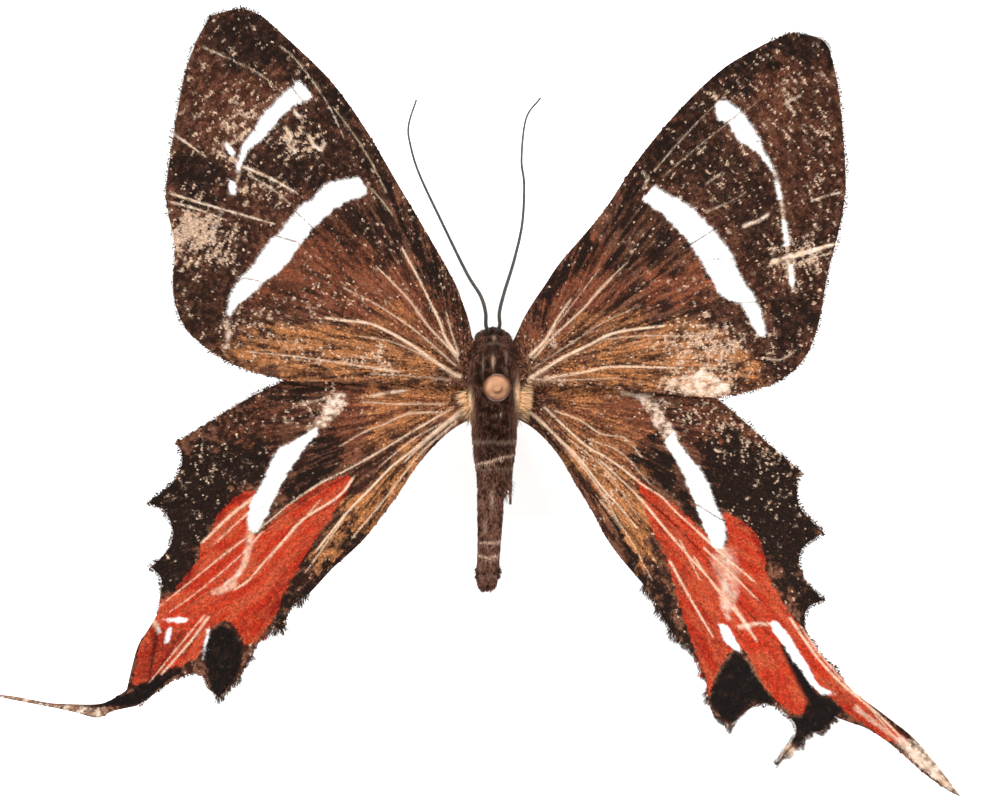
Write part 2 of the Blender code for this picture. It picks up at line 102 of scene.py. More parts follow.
def on_grid(stations: tuple[Station, ...] | list[Station]) -> np.ndarray:
    """Turns grid stations into places.

    Args:
        stations: (column, row) pairs of the measuring grid.

    Returns:
        An array of (x, y) in millimetres about the pin.
    """
    cells = np.array(stations, float).reshape(-1, 2)
    return np.column_stack(((cells[:, 0] - PIN_COLUMN) * GRID_MM, (PIN_ROW - cells[:, 1]) * GRID_MM))


def spline(knots: np.ndarray, pitch: float) -> np.ndarray:
    """Draws a Catmull-Rom curve through knots.

    Args:
        knots: Places in two or three dimensions.
        pitch: About how far apart the curve's points are.

    Returns:
        The curve's points, both ends included.
    """
    ends = np.vstack((2 * knots[0] - knots[1], knots, 2 * knots[-1] - knots[-2]))
    curve = []
    for i in range(1, len(ends) - 2):
        before, start, end, after = ends[i - 1:i + 3]
        count = max(1, round(float(np.linalg.norm(end - start)) / pitch))
        t = (np.arange(count) / count)[:, None]
        curve.append(
            0.5 * (
                2 * start
                + (end - before) * t
                + (2 * before - 5 * start + 4 * end - after) * t ** 2
                + (3 * start - before - 3 * end + after) * t ** 3
            )
        )
    curve.append(knots[-1:])
    return np.vstack(curve)


def to_line(places: np.ndarray, line: np.ndarray) -> tuple[np.ndarray, np.ndarray]:
    """Measures how far places are from a bent line.

    Args:
        places: (x, y) places.
        line: The line's points.

    Returns:
        Each place's distance, and its share of the way along the line.
    """
    best = np.full(len(places), np.inf)
    share = np.zeros(len(places))
    last = max(1, len(line) - 1)
    for i in range(len(line) - 1):
        along = line[i + 1] - line[i]
        size = max(float(along @ along), 1e-12)
        part = np.clip((places - line[i]) @ along / size, 0, 1)
        gap = np.linalg.norm(places - (line[i] + part[:, None] * along), axis=1)
        closer = gap < best
        best = np.where(closer, gap, best)
        share = np.where(closer, (i + part) / last, share)
    return best, share


def within(places: np.ndarray, outline: np.ndarray) -> np.ndarray:
    """Tells which places lie within a closed outline.

    Args:
        places: (x, y) places.
        outline: The outline's points.

    Returns:
        True for each place inside.
    """
    odd = np.zeros(len(places), bool)
    following = np.roll(outline, -1, axis=0)
    for (ax, ay), (bx, by) in zip(outline, following):
        if ay == by:
            continue
        spans = (ay > places[:, 1]) != (by > places[:, 1])
        odd ^= spans & (places[:, 0] < (bx - ax) * (places[:, 1] - ay) / (by - ay) + ax)
    return odd


def closed(outline: np.ndarray) -> np.ndarray:
    """An outline that comes back to its first point."""
    return np.vstack((outline, outline[:1]))


def unit(rows: np.ndarray) -> np.ndarray:
    """Directions at length one."""
    return rows / np.linalg.norm(rows, axis=1, keepdims=True)


def close_to(places: np.ndarray, line: np.ndarray, margin: float) -> np.ndarray:
    """Tells which places lie in the box about a line, widened by a margin."""
    low, high = line.min(axis=0) - margin, line.max(axis=0) + margin
    return np.all((places > low) & (places < high), axis=1)


def depth_in(places: np.ndarray, outline: np.ndarray, margin: float) -> np.ndarray:
    """How deep places lie within a closed outline.

    Args:
        places: (x, y) places.
        outline: The outline's points.
        margin: How far outside the outline the depth is still worked out.

    Returns:
        The depths, less than nought outside; far outside, the margin less than nought.
    """
    depth = np.full(len(places), -margin)
    close = close_to(places, outline, margin)
    gap, _ = to_line(places[close], closed(outline))
    depth[close] = np.where(within(places[close], outline), gap, np.maximum(-gap, -margin))
    return depth


def grain(places: np.ndarray, cell: float, seed: int) -> np.ndarray:
    """Makes smooth random values over the plan.

    Args:
        places: (x, y) places.
        cell: The size of the grain.
        seed: Which grain.

    Returns:
        A value from 0 to 1 for each place.
    """
    scaled = places / cell
    low = np.floor(scaled).astype(np.int64)
    part = scaled - low
    part = part * part * (3 - 2 * part)

    def corner(dx: int, dy: int) -> np.ndarray:
        """Works out the lattice value at one corner of each place's cell.

        Args:
            dx: 0 at the left and 1 at the right.
            dy: 0 below and 1 above.

        Returns:
            A value from 0 to 1 for each place.
        """
        mixed = (low[:, 0] + dx) * 374761393 + (low[:, 1] + dy) * 668265263 + seed * 974634777
        mixed = (mixed ^ (mixed >> 13)) * 1274126177
        return ((mixed ^ (mixed >> 16)) & 0xFFFF) / 65535.0

    lower = corner(0, 0) * (1 - part[:, 0]) + corner(1, 0) * part[:, 0]
    upper = corner(0, 1) * (1 - part[:, 0]) + corner(1, 1) * part[:, 0]
    return lower * (1 - part[:, 1]) + upper * part[:, 1]


def smooth(value: np.ndarray, low: float, high: float) -> np.ndarray:
    """A soft step from 0 at low to 1 at high."""
    share = np.clip((value - low) / (high - low), 0, 1)
    return share * share * (3 - 2 * share)


def wing_height(x: np.ndarray, y: np.ndarray) -> np.ndarray:
    """How far the spread wings stand over the wing plane, as in the frame."""
    out = np.abs(x) / WING_REACH
    return TIP_LIFT * out ** TIP_BEND + WAVE_HEIGHT * out * np.sin(WAVE_TURN * y + WAVE_START)


def mesh_piece(
    name: str, points: np.ndarray, faces: np.ndarray | list, look: bpy.types.Material
) -> bpy.types.Object:
    """Makes a piece that rides on the body.

    Args:
        name: The piece's name.
        points: Places in millimetres.
        faces: Point numbers of each face, turned outwards.
        look: Its material.

    Returns:
        The new object.
    """
    mesh = bpy.data.meshes.new(name)
    turns = faces.tolist() if isinstance(faces, np.ndarray) else faces
    mesh.from_pydata((np.asarray(points, float) * MM).tolist(), [], turns)
    mesh.update()
    mesh.materials.append(look)
    piece = bpy.data.objects.new(name, mesh)
    bpy.context.scene.collection.objects.link(piece)
    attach(piece, BODY)
    return piece


def set_colours(piece: bpy.types.Object, name: str, channels: tuple[np.ndarray, ...]) -> None:
    """Keeps three masks of each point as one named attribute.

    Args:
        piece: The piece.
        name: The attribute's name.
        channels: Three arrays, one value for each point.
    """
    made = piece.data.attributes.new(name, "FLOAT_COLOR", "POINT")
    values = np.column_stack((*channels, np.ones(len(channels[0]))))
    made.data.foreach_set("color", values.astype(np.float32).ravel())


def set_values(piece: bpy.types.Object, name: str, values: np.ndarray) -> None:
    """Keeps one value for each point as a named attribute."""
    made = piece.data.attributes.new(name, "FLOAT", "POINT")
    made.data.foreach_set("value", values.astype(np.float32))


def set_bake_map(piece: bpy.types.Object, places: np.ndarray) -> None:
    """Gives a coat its bake map.

    Args:
        piece: The coat.
        places: One (u, v) for each point.
    """
    layer = piece.data.uv_layers.new(name="OFBake")
    corners = np.empty(len(piece.data.loops), np.int32)
    piece.data.loops.foreach_get("vertex_index", corners)
    layer.uv.foreach_set("vector", places[corners].astype(np.float32).ravel())


def finish_coat(piece: bpy.types.Object, tones: np.ndarray, maps: np.ndarray) -> bpy.types.Object:
    """Gives a coat one tone for each scale or hair, and its bake map.

    Args:
        piece: The coat.
        tones: One value for each scale or hair.
        maps: One (u, v) for each point.

    Returns:
        The coat.
    """
    set_values(piece, "tone", np.repeat(tones, len(maps) // len(tones)))
    set_bake_map(piece, maps)
    return piece


def shade_smooth(piece: bpy.types.Object) -> None:
    """Shades a piece smooth."""
    piece.data.polygons.foreach_set("use_smooth", np.ones(len(piece.data.polygons), bool))
    piece.data.update()


def tube(path: np.ndarray, radii: np.ndarray, sides: int) -> tuple[np.ndarray, list]:
    """Makes a closed tube along a path.

    Args:
        path: Places along its middle.
        radii: Its radius at each place.
        sides: How many sides it has.

    Returns:
        Its points and its faces.
    """
    rings = []
    across = None
    for i, place in enumerate(path):
        ahead = path[min(i + 1, len(path) - 1)] - path[max(i - 1, 0)]
        ahead = ahead / np.linalg.norm(ahead)
        if across is None:
            across = np.array(Vector(ahead).orthogonal().normalized())
        across = across - ahead * (across @ ahead)
        across = across / np.linalg.norm(across)
        up = np.cross(ahead, across)
        angles = np.linspace(0, 2 * math.pi, sides, endpoint=False)[:, None]
        rings.append(place + radii[i] * (np.cos(angles) * across + np.sin(angles) * up))
    return loft(rings)


def loft(rings: list[np.ndarray]) -> tuple[np.ndarray, list]:
    """Closes a body through rings of as many points each.

    Args:
        rings: The rings, from one end to the other.

    Returns:
        The body's points and faces.
    """
    sides = len(rings[0])
    faces = []
    for i in range(len(rings) - 1):
        for j in range(sides):
            k = (j + 1) % sides
            faces.append((i * sides + j, i * sides + k, (i + 1) * sides + k, (i + 1) * sides + j))
    faces.append(tuple(range(sides))[::-1])
    faces.append(tuple((len(rings) - 1) * sides + j for j in range(sides)))
    return np.vstack(rings), faces


@dataclass
class Lie:
    """Where the scales or hairs of a coat stand and how they lie, one row for each."""

    roots: np.ndarray
    ahead: np.ndarray
    normals: np.ndarray
    lengths: np.ndarray
    widths: np.ndarray
    lifts: np.ndarray
    patches: np.ndarray

    def frame(self) -> tuple[np.ndarray, np.ndarray, np.ndarray]:
        """Works out how each scale or hair is turned.

        Returns:
            Unit directions ahead, to the left and off the surface.
        """
        normals = unit(self.normals)
        ahead = unit(self.ahead - normals * np.sum(self.ahead * normals, axis=1, keepdims=True))
        return ahead, np.cross(normals, ahead), normals

    def at(self, ahead: np.ndarray, off: np.ndarray, out: float, rise: float) -> np.ndarray:
        """Each one's middle at a share of its length, raised by a share of its lift."""
        return self.roots + ahead * (self.lengths * out)[:, None] + off * (self.lifts * rise)[:, None]

    def scales(self, thickness: float) -> tuple[np.ndarray, np.ndarray, np.ndarray]:
        """Makes each one a thin closed scale with a rounded tip.

        Args:
            thickness: How thick a scale is.

        Returns:
            Points, triangles and the bake map's place of each point.
        """
        ahead, left, off = self.frame()
        shape = ((0.0, 0.0, 0.0), (0.7, 0.5, 0.7), (0.7, -0.5, 0.7), (1.0, 0.0, 1.0), (0.55, 0.0, 0.4))
        turns = ((0, 2, 3), (0, 3, 1), (0, 1, 4), (1, 3, 4), (3, 2, 4), (2, 0, 4))
        points = np.empty((len(self.roots), len(shape), 3))
        for i, (out, wide, high) in enumerate(shape):
            points[:, i] = (
                self.roots
                + ahead * (self.lengths * out)[:, None]
                + left * (self.widths * wide)[:, None]
                + off * (self.lifts * high)[:, None]
            )
        points[:, 4] -= off * thickness
        return self.joined(points, turns, [(s[0] - 0.5, s[1]) for s in shape])

    def hairs(self, droop: float) -> tuple[np.ndarray, np.ndarray, np.ndarray]:
        """Makes each one a thin closed hair of three sides that bends down to its tip.

        Args:
            droop: How far it bends, as a share of its length.

        Returns:
            Points, triangles and the bake map's place of each point.
        """
        ahead, left, off = self.frame()
        levels = ((0.0, 1.0), (0.35, 0.85), (0.72, 0.5))
        points = np.empty((len(self.roots), 10, 3))
        for i, (out, wide) in enumerate(levels):
            rise = out - droop * out * out
            middle = self.at(ahead, off, out, rise)
            for j, turn in enumerate((90, 210, 330)):
                c, s = math.cos(math.radians(turn)), math.sin(math.radians(turn))
                points[:, i * 3 + j] = middle + (left * c + off * s) * (self.widths * wide / 2)[:, None]
        points[:, 9] = self.at(ahead, off, 1.0, 1 - droop)
        turns = []
        for i in range(2):
            for j in range(3):
                k = (j + 1) % 3
                turns.append((i * 3 + j, i * 3 + k, (i + 1) * 3 + k))
                turns.append((i * 3 + j, (i + 1) * 3 + k, (i + 1) * 3 + j))
        turns += [(6, 7, 9), (7, 8, 9), (8, 6, 9), (0, 2, 1)]
        flat = [(i / 3 - 0.5, (j - 1) / 3) for i in range(3) for j in range(3)] + [(0.5, 0.0)]
        return self.joined(points, turns, flat)

    def joined(self, points: np.ndarray, turns: tuple | list, flat: list) -> tuple[np.ndarray, ...]:
        """Joins like pieces into one mesh.

        Args:
            points: Places, by piece and by point.
            turns: One piece's triangles.
            flat: Each point's place in its patch of the bake map, about half either way.

        Returns:
            Points, triangles and the bake map's place of each point.
        """
        count, each, _ = points.shape
        first = (np.arange(count) * each)[:, None, None]
        faces = (np.array(turns)[None] + first).reshape(-1, 3)
        maps = self.patches[:, None] + np.array(flat)[None] * BAKE_PATCH
        return points.reshape(-1, 3), faces, maps.reshape(-1, 2)


# Finishes

Colour = tuple[float, float, float]


def srgb(red: int, green: int, blue: int) -> Colour:
    """The paint that shows as a colour of a screen's 255 steps under the studio's light."""
    return tuple(((c / 255 + 0.055) / 1.055) ** 2.4 / STUDIO_GAIN for c in (red, green, blue))


class NodeBench:
    """Short calls for making and linking the nodes of one tree."""

    def __init__(self, tree: bpy.types.NodeTree) -> None:
        """Takes the tree to work on."""
        self.tree = tree

    def node(self, kind: str, **values: object) -> bpy.types.Node:
        """Adds a node.

        Args:
            kind: Its kind.
            values: Its own fields.

        Returns:
            The node.
        """
        made = self.tree.nodes.new(kind)
        for name, value in values.items():
            setattr(made, name, value)
        return made

    def link(self, source: bpy.types.NodeSocket, target: bpy.types.NodeSocket) -> None:
        """Links two sockets."""
        self.tree.links.new(source, target)

    def fill(self, socket: bpy.types.NodeSocket, value: object) -> None:
        """Links a socket, or sets its value.

        Args:
            socket: The socket.
            value: Another socket, a colour or a number.
        """
        if isinstance(value, bpy.types.NodeSocket):
            self.link(value, socket)
        elif isinstance(value, tuple) and len(value) == 3 and socket.type == "RGBA":
            socket.default_value = (*value, 1.0)
        else:
            socket.default_value = value

    def plus(self, first: object, second: object) -> bpy.types.NodeSocket:
        """The sum of two numbers."""
        return self.maths("ADD", first, second)

    def times(self, first: object, second: object) -> bpy.types.NodeSocket:
        """The product of two numbers."""
        return self.maths("MULTIPLY", first, second)

    def place(self) -> bpy.types.NodeSocket:
        """Each point's place in the object's own space."""
        return self.node("ShaderNodeTexCoord").outputs["Object"]

    def mix(self, share: object, first: object, second: object, blend: str = "MIX") -> bpy.types.NodeSocket:
        """Mixes two colours.

        Args:
            share: The second one's share.
            first: A colour or its socket.
            second: A colour or its socket.
            blend: How they are blended.

        Returns:
            The mixed colour.
        """
        made = self.node("ShaderNodeMix", data_type="RGBA", blend_type=blend)
        self.fill(made.inputs[0], share)
        self.fill(made.inputs[6], first)
        self.fill(made.inputs[7], second)
        return made.outputs[2]

    def maths(self, what: str, first: object, second: object = 0.0) -> bpy.types.NodeSocket:
        """Works out a number.

        Args:
            what: The kind of sum.
            first: A number or its socket.
            second: A number or its socket.

        Returns:
            The number.
        """
        made = self.node("ShaderNodeMath", operation=what)
        self.fill(made.inputs[0], first)
        self.fill(made.inputs[1], second)
        return made.outputs[0]

    def ramp(self, value: object, low: float, high: float) -> bpy.types.NodeSocket:
        """Makes a soft step.

        Args:
            value: The value's socket.
            low: Where the step begins, at 0.
            high: Where it ends, at 1.

        Returns:
            The step.
        """
        made = self.node("ShaderNodeMapRange", interpolation_type="SMOOTHSTEP")
        self.fill(made.inputs[0], value)
        made.inputs[1].default_value = low
        made.inputs[2].default_value = high
        return made.outputs[0]

    def noise(
        self, size_mm: float, detail: float = 2.0, stretch: tuple[float, float, float] = (1, 1, 1)
    ) -> bpy.types.NodeSocket:
        """Adds noise in the object's own space.

        Args:
            size_mm: About how large a grain is.
            detail: How many finer grains it holds.
            stretch: How much longer a grain is along each axis.

        Returns:
            The noise's value.
        """
        mapping = self.node("ShaderNodeMapping")
        self.link(self.place(), mapping.inputs["Vector"])
        mapping.inputs["Scale"].default_value = tuple(1.0 / (MM * size_mm * s) for s in stretch)
        made = self.node("ShaderNodeTexNoise")
        self.link(mapping.outputs[0], made.inputs["Vector"])
        made.inputs["Scale"].default_value = 1.0
        made.inputs["Detail"].default_value = detail
        return made.outputs["Fac"]

    def masks(self, name: str) -> tuple[bpy.types.NodeSocket, ...]:
        """Reads three masks of a piece.

        Args:
            name: The attribute's name.

        Returns:
            The masks.
        """
        read = self.node("ShaderNodeAttribute", attribute_name=name)
        split = self.node("ShaderNodeSeparateColor")
        self.link(read.outputs["Color"], split.inputs[0])
        return tuple(split.outputs)

    def value(self, name: str) -> bpy.types.NodeSocket:
        """The value kept in a named attribute."""
        return self.node("ShaderNodeAttribute", attribute_name=name).outputs["Fac"]

    def bump(self, height: bpy.types.NodeSocket, depth_mm: float, strength: float) -> bpy.types.NodeSocket:
        """Makes a normal from a height.

        Args:
            height: The height's socket, from 0 to 1.
            depth_mm: How deep the relief is.
            strength: How much of it shows.

        Returns:
            The normal.
        """
        made = self.node("ShaderNodeBump")
        made.inputs["Distance"].default_value = depth_mm * MM
        made.inputs["Strength"].default_value = strength
        self.link(height, made.inputs["Height"])
        return made.outputs[0]


def new_material(name: str) -> tuple[bpy.types.Material, NodeBench, bpy.types.Node]:
    """Starts a material.

    Args:
        name: Its name.

    Returns:
        The material, a bench on its nodes and its Principled shader.
    """
    made = bpy.data.materials.new(name)
    made.use_nodes = True
    bench = NodeBench(made.node_tree)
    return made, bench, made.node_tree.nodes["Principled BSDF"]


def tone_group() -> bpy.types.NodeTree:
    """The shared effect that varies a colour scale by scale, with a fine grain over it.

    Returns:
        A node group from Color, Tone and Strength to Color.
    """
    found = bpy.data.node_groups.get("scale_tone")
    if found:
        return found
    tree = bpy.data.node_groups.new("scale_tone", "ShaderNodeTree")
    tree.interface.new_socket("Color", in_out="INPUT", socket_type="NodeSocketColor")
    tree.interface.new_socket("Tone", in_out="INPUT", socket_type="NodeSocketFloat")
    tree.interface.new_socket("Strength", in_out="INPUT", socket_type="NodeSocketFloat")
    tree.interface.new_socket("Color", in_out="OUTPUT", socket_type="NodeSocketColor")
    bench = NodeBench(tree)
    taken = bench.node("NodeGroupInput")
    given = bench.node("NodeGroupOutput")
    fine = bench.noise(0.07, 3.0)
    off_middle = bench.maths("SUBTRACT", taken.outputs["Tone"], 0.5)
    swing = bench.plus(off_middle, bench.maths("SUBTRACT", fine, 0.5))
    gain = bench.plus(bench.times(swing, taken.outputs["Strength"]), 1.0)
    grey = bench.node("ShaderNodeCombineColor")
    for socket in grey.inputs[:3]:
        bench.link(gain, socket)
    bench.link(bench.mix(1.0, taken.outputs["Color"], grey.outputs[0], "MULTIPLY"), given.inputs["Color"])
    return tree


def toned(bench: NodeBench, colour: object, strength: float) -> bpy.types.NodeSocket:
    """Varies a colour by the shared effect, from the piece's own tone.

    Args:
        bench: The bench to work on.
        colour: The colour or its socket.
        strength: How much it varies.

    Returns:
        The varied colour.
    """
    group = bench.node("ShaderNodeGroup", node_tree=tone_group())
    bench.fill(group.inputs["Color"], colour)
    bench.link(bench.value("tone"), group.inputs["Tone"])
    group.inputs["Strength"].default_value = strength
    return group.outputs["Color"]


@dataclass(frozen=True)
class WingFinish:
    """The scales' colours on a wing."""

    name: str
    ground: Colour = srgb(72, 40, 28)
    ground_light: Colour = srgb(150, 98, 74)
    dark: Colour = srgb(40, 25, 18)
    rust: Colour = srgb(166, 92, 62)
    gold: Colour = srgb(228, 150, 92)
    pale: Colour = srgb(255, 216, 184)
    red: Colour = srgb(222, 62, 32)
    orange: Colour = srgb(226, 104, 66)
    deep_red: Colour = srgb(150, 30, 18)
    cream: Colour = (0.78, 0.55, 0.38)
    white: Colour = (0.93, 0.92, 0.9)
    black: Colour = srgb(26, 19, 16)
    roughness: float = 0.75

    def material(self) -> bpy.types.Material:
        """Mixes the scales' colours by the masks that each scale carries.

        Returns:
            The material.
        """
        made, bench, shader = new_material(self.name)
        white, red, black = bench.masks("marks")
        pale, vein, worn = bench.masks("tints")
        gold, shade, rust = bench.masks("grounds")
        colour = bench.mix(worn, self.ground, self.ground_light)
        colour = bench.mix(rust, colour, self.rust)
        colour = bench.mix(gold, colour, self.gold)
        colour = bench.mix(shade, colour, self.dark)
        colour = bench.mix(bench.times(pale, 0.85), colour, self.pale)
        reds = bench.mix(bench.times(worn, 0.8), self.red, self.orange)
        reds = bench.mix(bench.times(shade, 0.75), reds, self.deep_red)
        colour = bench.mix(red, colour, reds)
        colour = bench.mix(black, colour, self.black)
        colour = toned(bench, colour, 0.9)
        colour = bench.mix(vein, colour, self.cream)
        colour = bench.mix(white, colour, self.white)
        bench.link(colour, shader.inputs["Base Color"])
        shader.inputs["Roughness"].default_value = self.roughness
        shader.inputs["Specular IOR Level"].default_value = 0.1
        bench.link(bench.bump(bench.noise(0.05, 2.0), 0.01, 0.5), shader.inputs["Normal"])
        return made


@dataclass(frozen=True)
class FurFinish:
    """Hair or body scales of two browns with paler marks."""

    name: str
    deep: Colour
    light: Colour
    mark: Colour = srgb(255, 214, 186)
    tan: Colour = (0.93, 0.62, 0.36)
    roughness: float = 0.85

    def material(self) -> bpy.types.Material:
        """Mixes the coat's browns by noise, with the marks that each hair carries.

        Returns:
            The material.
        """
        made, bench, shader = new_material(self.name)
        mark, tan, light = bench.masks("marks")
        streak = bench.ramp(bench.noise(0.28, 3.0), 0.46, 0.66)
        streak = bench.maths("MAXIMUM", bench.times(streak, 0.6), light)
        colour = bench.mix(streak, self.deep, self.light)
        colour = bench.mix(tan, colour, self.tan)
        colour = bench.mix(mark, colour, self.mark)
        bench.link(toned(bench, colour, 0.75), shader.inputs["Base Color"])
        shader.inputs["Roughness"].default_value = self.roughness
        shader.inputs["Specular IOR Level"].default_value = 0.08
        bench.link(bench.bump(bench.noise(0.04, 2.0), 0.01, 0.6), shader.inputs["Normal"])
        return made


@dataclass(frozen=True)
class ChitinFinish:
    """Bare or thinly scaled limbs and feelers, banded along their length."""

    name: str
    base: Colour
    band: Colour
    band_mm: float
    roughness: float = 0.45

    def material(self) -> bpy.types.Material:
        """Mixes two browns in bands along the piece.

        Returns:
            The material.
        """
        made, bench, shader = new_material(self.name)
        along = bench.value("along")
        wave = bench.maths("SINE", bench.times(along, 2 * math.pi / self.band_mm))
        band = bench.ramp(wave, 0.1, 0.9)
        spotted = bench.times(band, bench.ramp(bench.noise(0.12, 2.0), 0.35, 0.65))
        colour = bench.mix(spotted, self.base, self.band)
        bench.link(colour, shader.inputs["Base Color"])
        shader.inputs["Roughness"].default_value = self.roughness
        bench.link(bench.bump(bench.noise(0.03, 2.0), 0.006, 0.6), shader.inputs["Normal"])
        return made


@dataclass(frozen=True)
class EyeFinish:
    """A dark eye of fine facets."""

    name: str = "eye_facets"
    deep: Colour = srgb(44, 28, 22)
    light: Colour = srgb(104, 70, 52)

    def material(self) -> bpy.types.Material:
        """Facets from a fine cell pattern, with darker patches.

        Returns:
            The material.
        """
        made, bench, shader = new_material(self.name)
        cells = bench.node("ShaderNodeTexVoronoi")
        bench.link(bench.place(), cells.inputs["Vector"])
        cells.inputs["Scale"].default_value = 1.0 / (0.035 * MM)
        patch = bench.ramp(bench.noise(0.25, 2.0), 0.4, 0.7)
        shade = bench.mix(bench.ramp(cells.outputs["Distance"], 0.0, 0.8), self.light, self.deep)
        bench.link(bench.mix(patch, shade, self.deep), shader.inputs["Base Color"])
        shader.inputs["Roughness"].default_value = 0.45
        shader.inputs["Specular IOR Level"].default_value = 0.06
        bench.link(bench.bump(cells.outputs["Distance"], 0.01, 0.5), shader.inputs["Normal"])
        return made


@dataclass(frozen=True)
class SteelFinish:
    """The drawn steel of the pin's shaft."""

    name: str = "pin_steel_drawn"
    bright: Colour = srgb(214, 208, 200)
    dull: Colour = srgb(150, 142, 134)

    def material(self) -> bpy.types.Material:
        """Fine lines along the shaft and a little tarnish.

        Returns:
            The material.
        """
        made, bench, shader = new_material(self.name)
        lines = bench.noise(0.03, 2.0, (1, 1, 60))
        tarnish = bench.ramp(bench.noise(0.8, 3.0), 0.45, 0.75)
        bench.link(bench.mix(tarnish, self.bright, self.dull), shader.inputs["Base Color"])
        shader.inputs["Metallic"].default_value = 1.0
        rough = bench.plus(bench.times(lines, 0.2), 0.18)
        bench.link(rough, shader.inputs["Roughness"])
        bench.link(bench.bump(lines, 0.004, 0.3), shader.inputs["Normal"])
        return made


@dataclass(frozen=True)
class PinHeadFinish:
    """The peach-coloured head of the pin."""

    name: str = "pin_head_enamel"
    base: Colour = srgb(234, 174, 132)
    # Painted shade: the colour of the darker ring about the middle, strongest on its lower side.
    worn: Colour = srgb(98, 54, 30)
    # Painted shade: the colour of the darker rim, where the dome turns away from the light.
    rim: Colour = srgb(104, 62, 42)
    radius: float = 0.675
    # The side towards which the painted shade of the ring grows.
    shade_side: tuple[float, float, float] = (0.35, -0.94, 0.0)

    def material(self) -> bpy.types.Material:
        """Peach enamel with painted shade: a darker ring about the middle, most at its lower side, and a
        darker rim; the enamel is slightly mottled.

        Returns:
            The material.
        """
        made, bench, shader = new_material(self.name)
        across = bench.node("ShaderNodeVectorMath", operation="MULTIPLY")
        bench.link(bench.place(), across.inputs[0])
        across.inputs[1].default_value = (1, 1, 0)
        reach = bench.node("ShaderNodeVectorMath", operation="LENGTH")
        bench.link(across.outputs[0], reach.inputs[0])
        share = bench.maths("DIVIDE", reach.outputs["Value"], self.radius * MM)
        mottle = bench.ramp(bench.noise(0.3, 3.0), 0.35, 0.7)
        # Painted shade: a darker ring about the middle, growing towards the lower side, mixed with the
        # enamel's own mottle.
        inner, outer = bench.ramp(share, 0.14, 0.32), bench.ramp(share, 0.38, 0.6)
        ring = bench.times(inner, bench.maths("SUBTRACT", 1.0, outer))
        slope = bench.node("ShaderNodeVectorMath", operation="DOT_PRODUCT")
        bench.link(bench.place(), slope.inputs[0])
        slope.inputs[1].default_value = tuple(share / (self.radius * MM) for share in self.shade_side)
        lower = bench.ramp(slope.outputs["Value"], -0.35, 0.6)
        ring = bench.times(ring, bench.plus(bench.times(lower, 0.9), 0.1))
        mottle_and_shade = bench.times(bench.plus(lower, mottle), 0.28)
        colour = bench.mix(bench.maths("MAXIMUM", ring, mottle_and_shade), self.base, self.worn)
        # Painted shade: the rim darkens where the dome turns away from the light.
        bench.link(bench.mix(bench.ramp(share, 0.62, 1.0), colour, self.rim), shader.inputs["Base Color"])
        rough = bench.plus(bench.times(mottle, 0.12), 0.2)
        bench.link(rough, shader.inputs["Roughness"])
        shader.inputs["Specular IOR Level"].default_value = 0.06
        bench.link(bench.bump(bench.noise(0.12, 2.0), 0.008, 0.3), shader.inputs["Normal"])
        return made


@dataclass(frozen=True)
class PaintFinish:
    """White paint on the block, with painted shade in a greyer colour on its sides, and a trace of brush and
    grain.
    """

    name: str = "block_white_paint"
    base: Colour = (0.96, 0.96, 0.95)
    shade: Colour = (0.945, 0.945, 0.935)
    # Painted shade: the greyer colour of the sides, up to the top's bevel.
    side_shade: Colour = srgb(206, 198, 186)
    side_shade_to: float = 8.4
    top_white_from: float = 8.6

    def material(self) -> bpy.types.Material:
        """Long faint strokes under matt paint, and a greyer colour below the top's bevel as painted shade on
        the sides.

        Returns:
            The material.
        """
        made, bench, shader = new_material(self.name)
        strokes = bench.noise(0.35, 3.0, (14, 1, 1))
        paint = bench.mix(bench.ramp(strokes, 0.4, 0.8), self.base, self.shade)
        # Painted shade: below the top's bevel the sides take the greyer colour.
        place = bench.node("ShaderNodeSeparateXYZ")
        bench.link(bench.place(), place.inputs[0])
        top_white = bench.ramp(place.outputs["Z"], self.side_shade_to * MM, self.top_white_from * MM)
        bench.link(bench.mix(top_white, self.side_shade, paint), shader.inputs["Base Color"])
        rough = bench.plus(bench.times(strokes, 0.15), 0.5)
        bench.link(rough, shader.inputs["Roughness"])
        bench.link(bench.bump(strokes, 0.006, 0.15), shader.inputs["Normal"])
        return made


# Wings


@dataclass(frozen=True)
class Blot:
    """A soft patch of one tint."""

    column: float
    row: float
    wide: float
    high: float
    amount: float

    def over(self, places: np.ndarray) -> np.ndarray:
        """Works out the tint's share at places.

        Args:
            places: (x, y) places.

        Returns:
            The shares.
        """
        middle = on_grid([(self.column, self.row)])[0]
        reach = np.array((self.wide, self.high)) * GRID_MM
        return self.amount * np.exp(-np.sum(((places - middle) / reach) ** 2, axis=1))


@dataclass(frozen=True)
class Zone:
    """A closed area of one tint, with a soft edge."""

    stations: tuple[Station, ...]
    amount: float
    soft: float = 0.35

    def over(self, places: np.ndarray) -> np.ndarray:
        """The tint's share at places."""
        ring = spline(on_grid((*self.stations, self.stations[0])), 0.5)[:-1]
        return self.amount * smooth(depth_in(places, ring, self.soft), -self.soft, self.soft)


@dataclass(frozen=True)
class Streak:
    """A line of scales of one tint, such as a pale vein."""

    stations: tuple[Station, ...]
    width: float
    amount: float = 1.0

    def over(self, places: np.ndarray) -> np.ndarray:
        """Works out the streak's share at places, thinning to its far end.

        Args:
            places: (x, y) places.

        Returns:
            The shares.
        """
        line = spline(on_grid(self.stations), 0.4)
        close = close_to(places, line, self.width * GRID_MM)
        gap, share = to_line(places[close], line)
        half = self.width * GRID_MM / 2 * (1.0 - 0.4 * share)
        drawn = np.zeros(len(places))
        drawn[close] = self.amount * smooth(-gap, -half * 1.5, -half * 0.5)
        return drawn


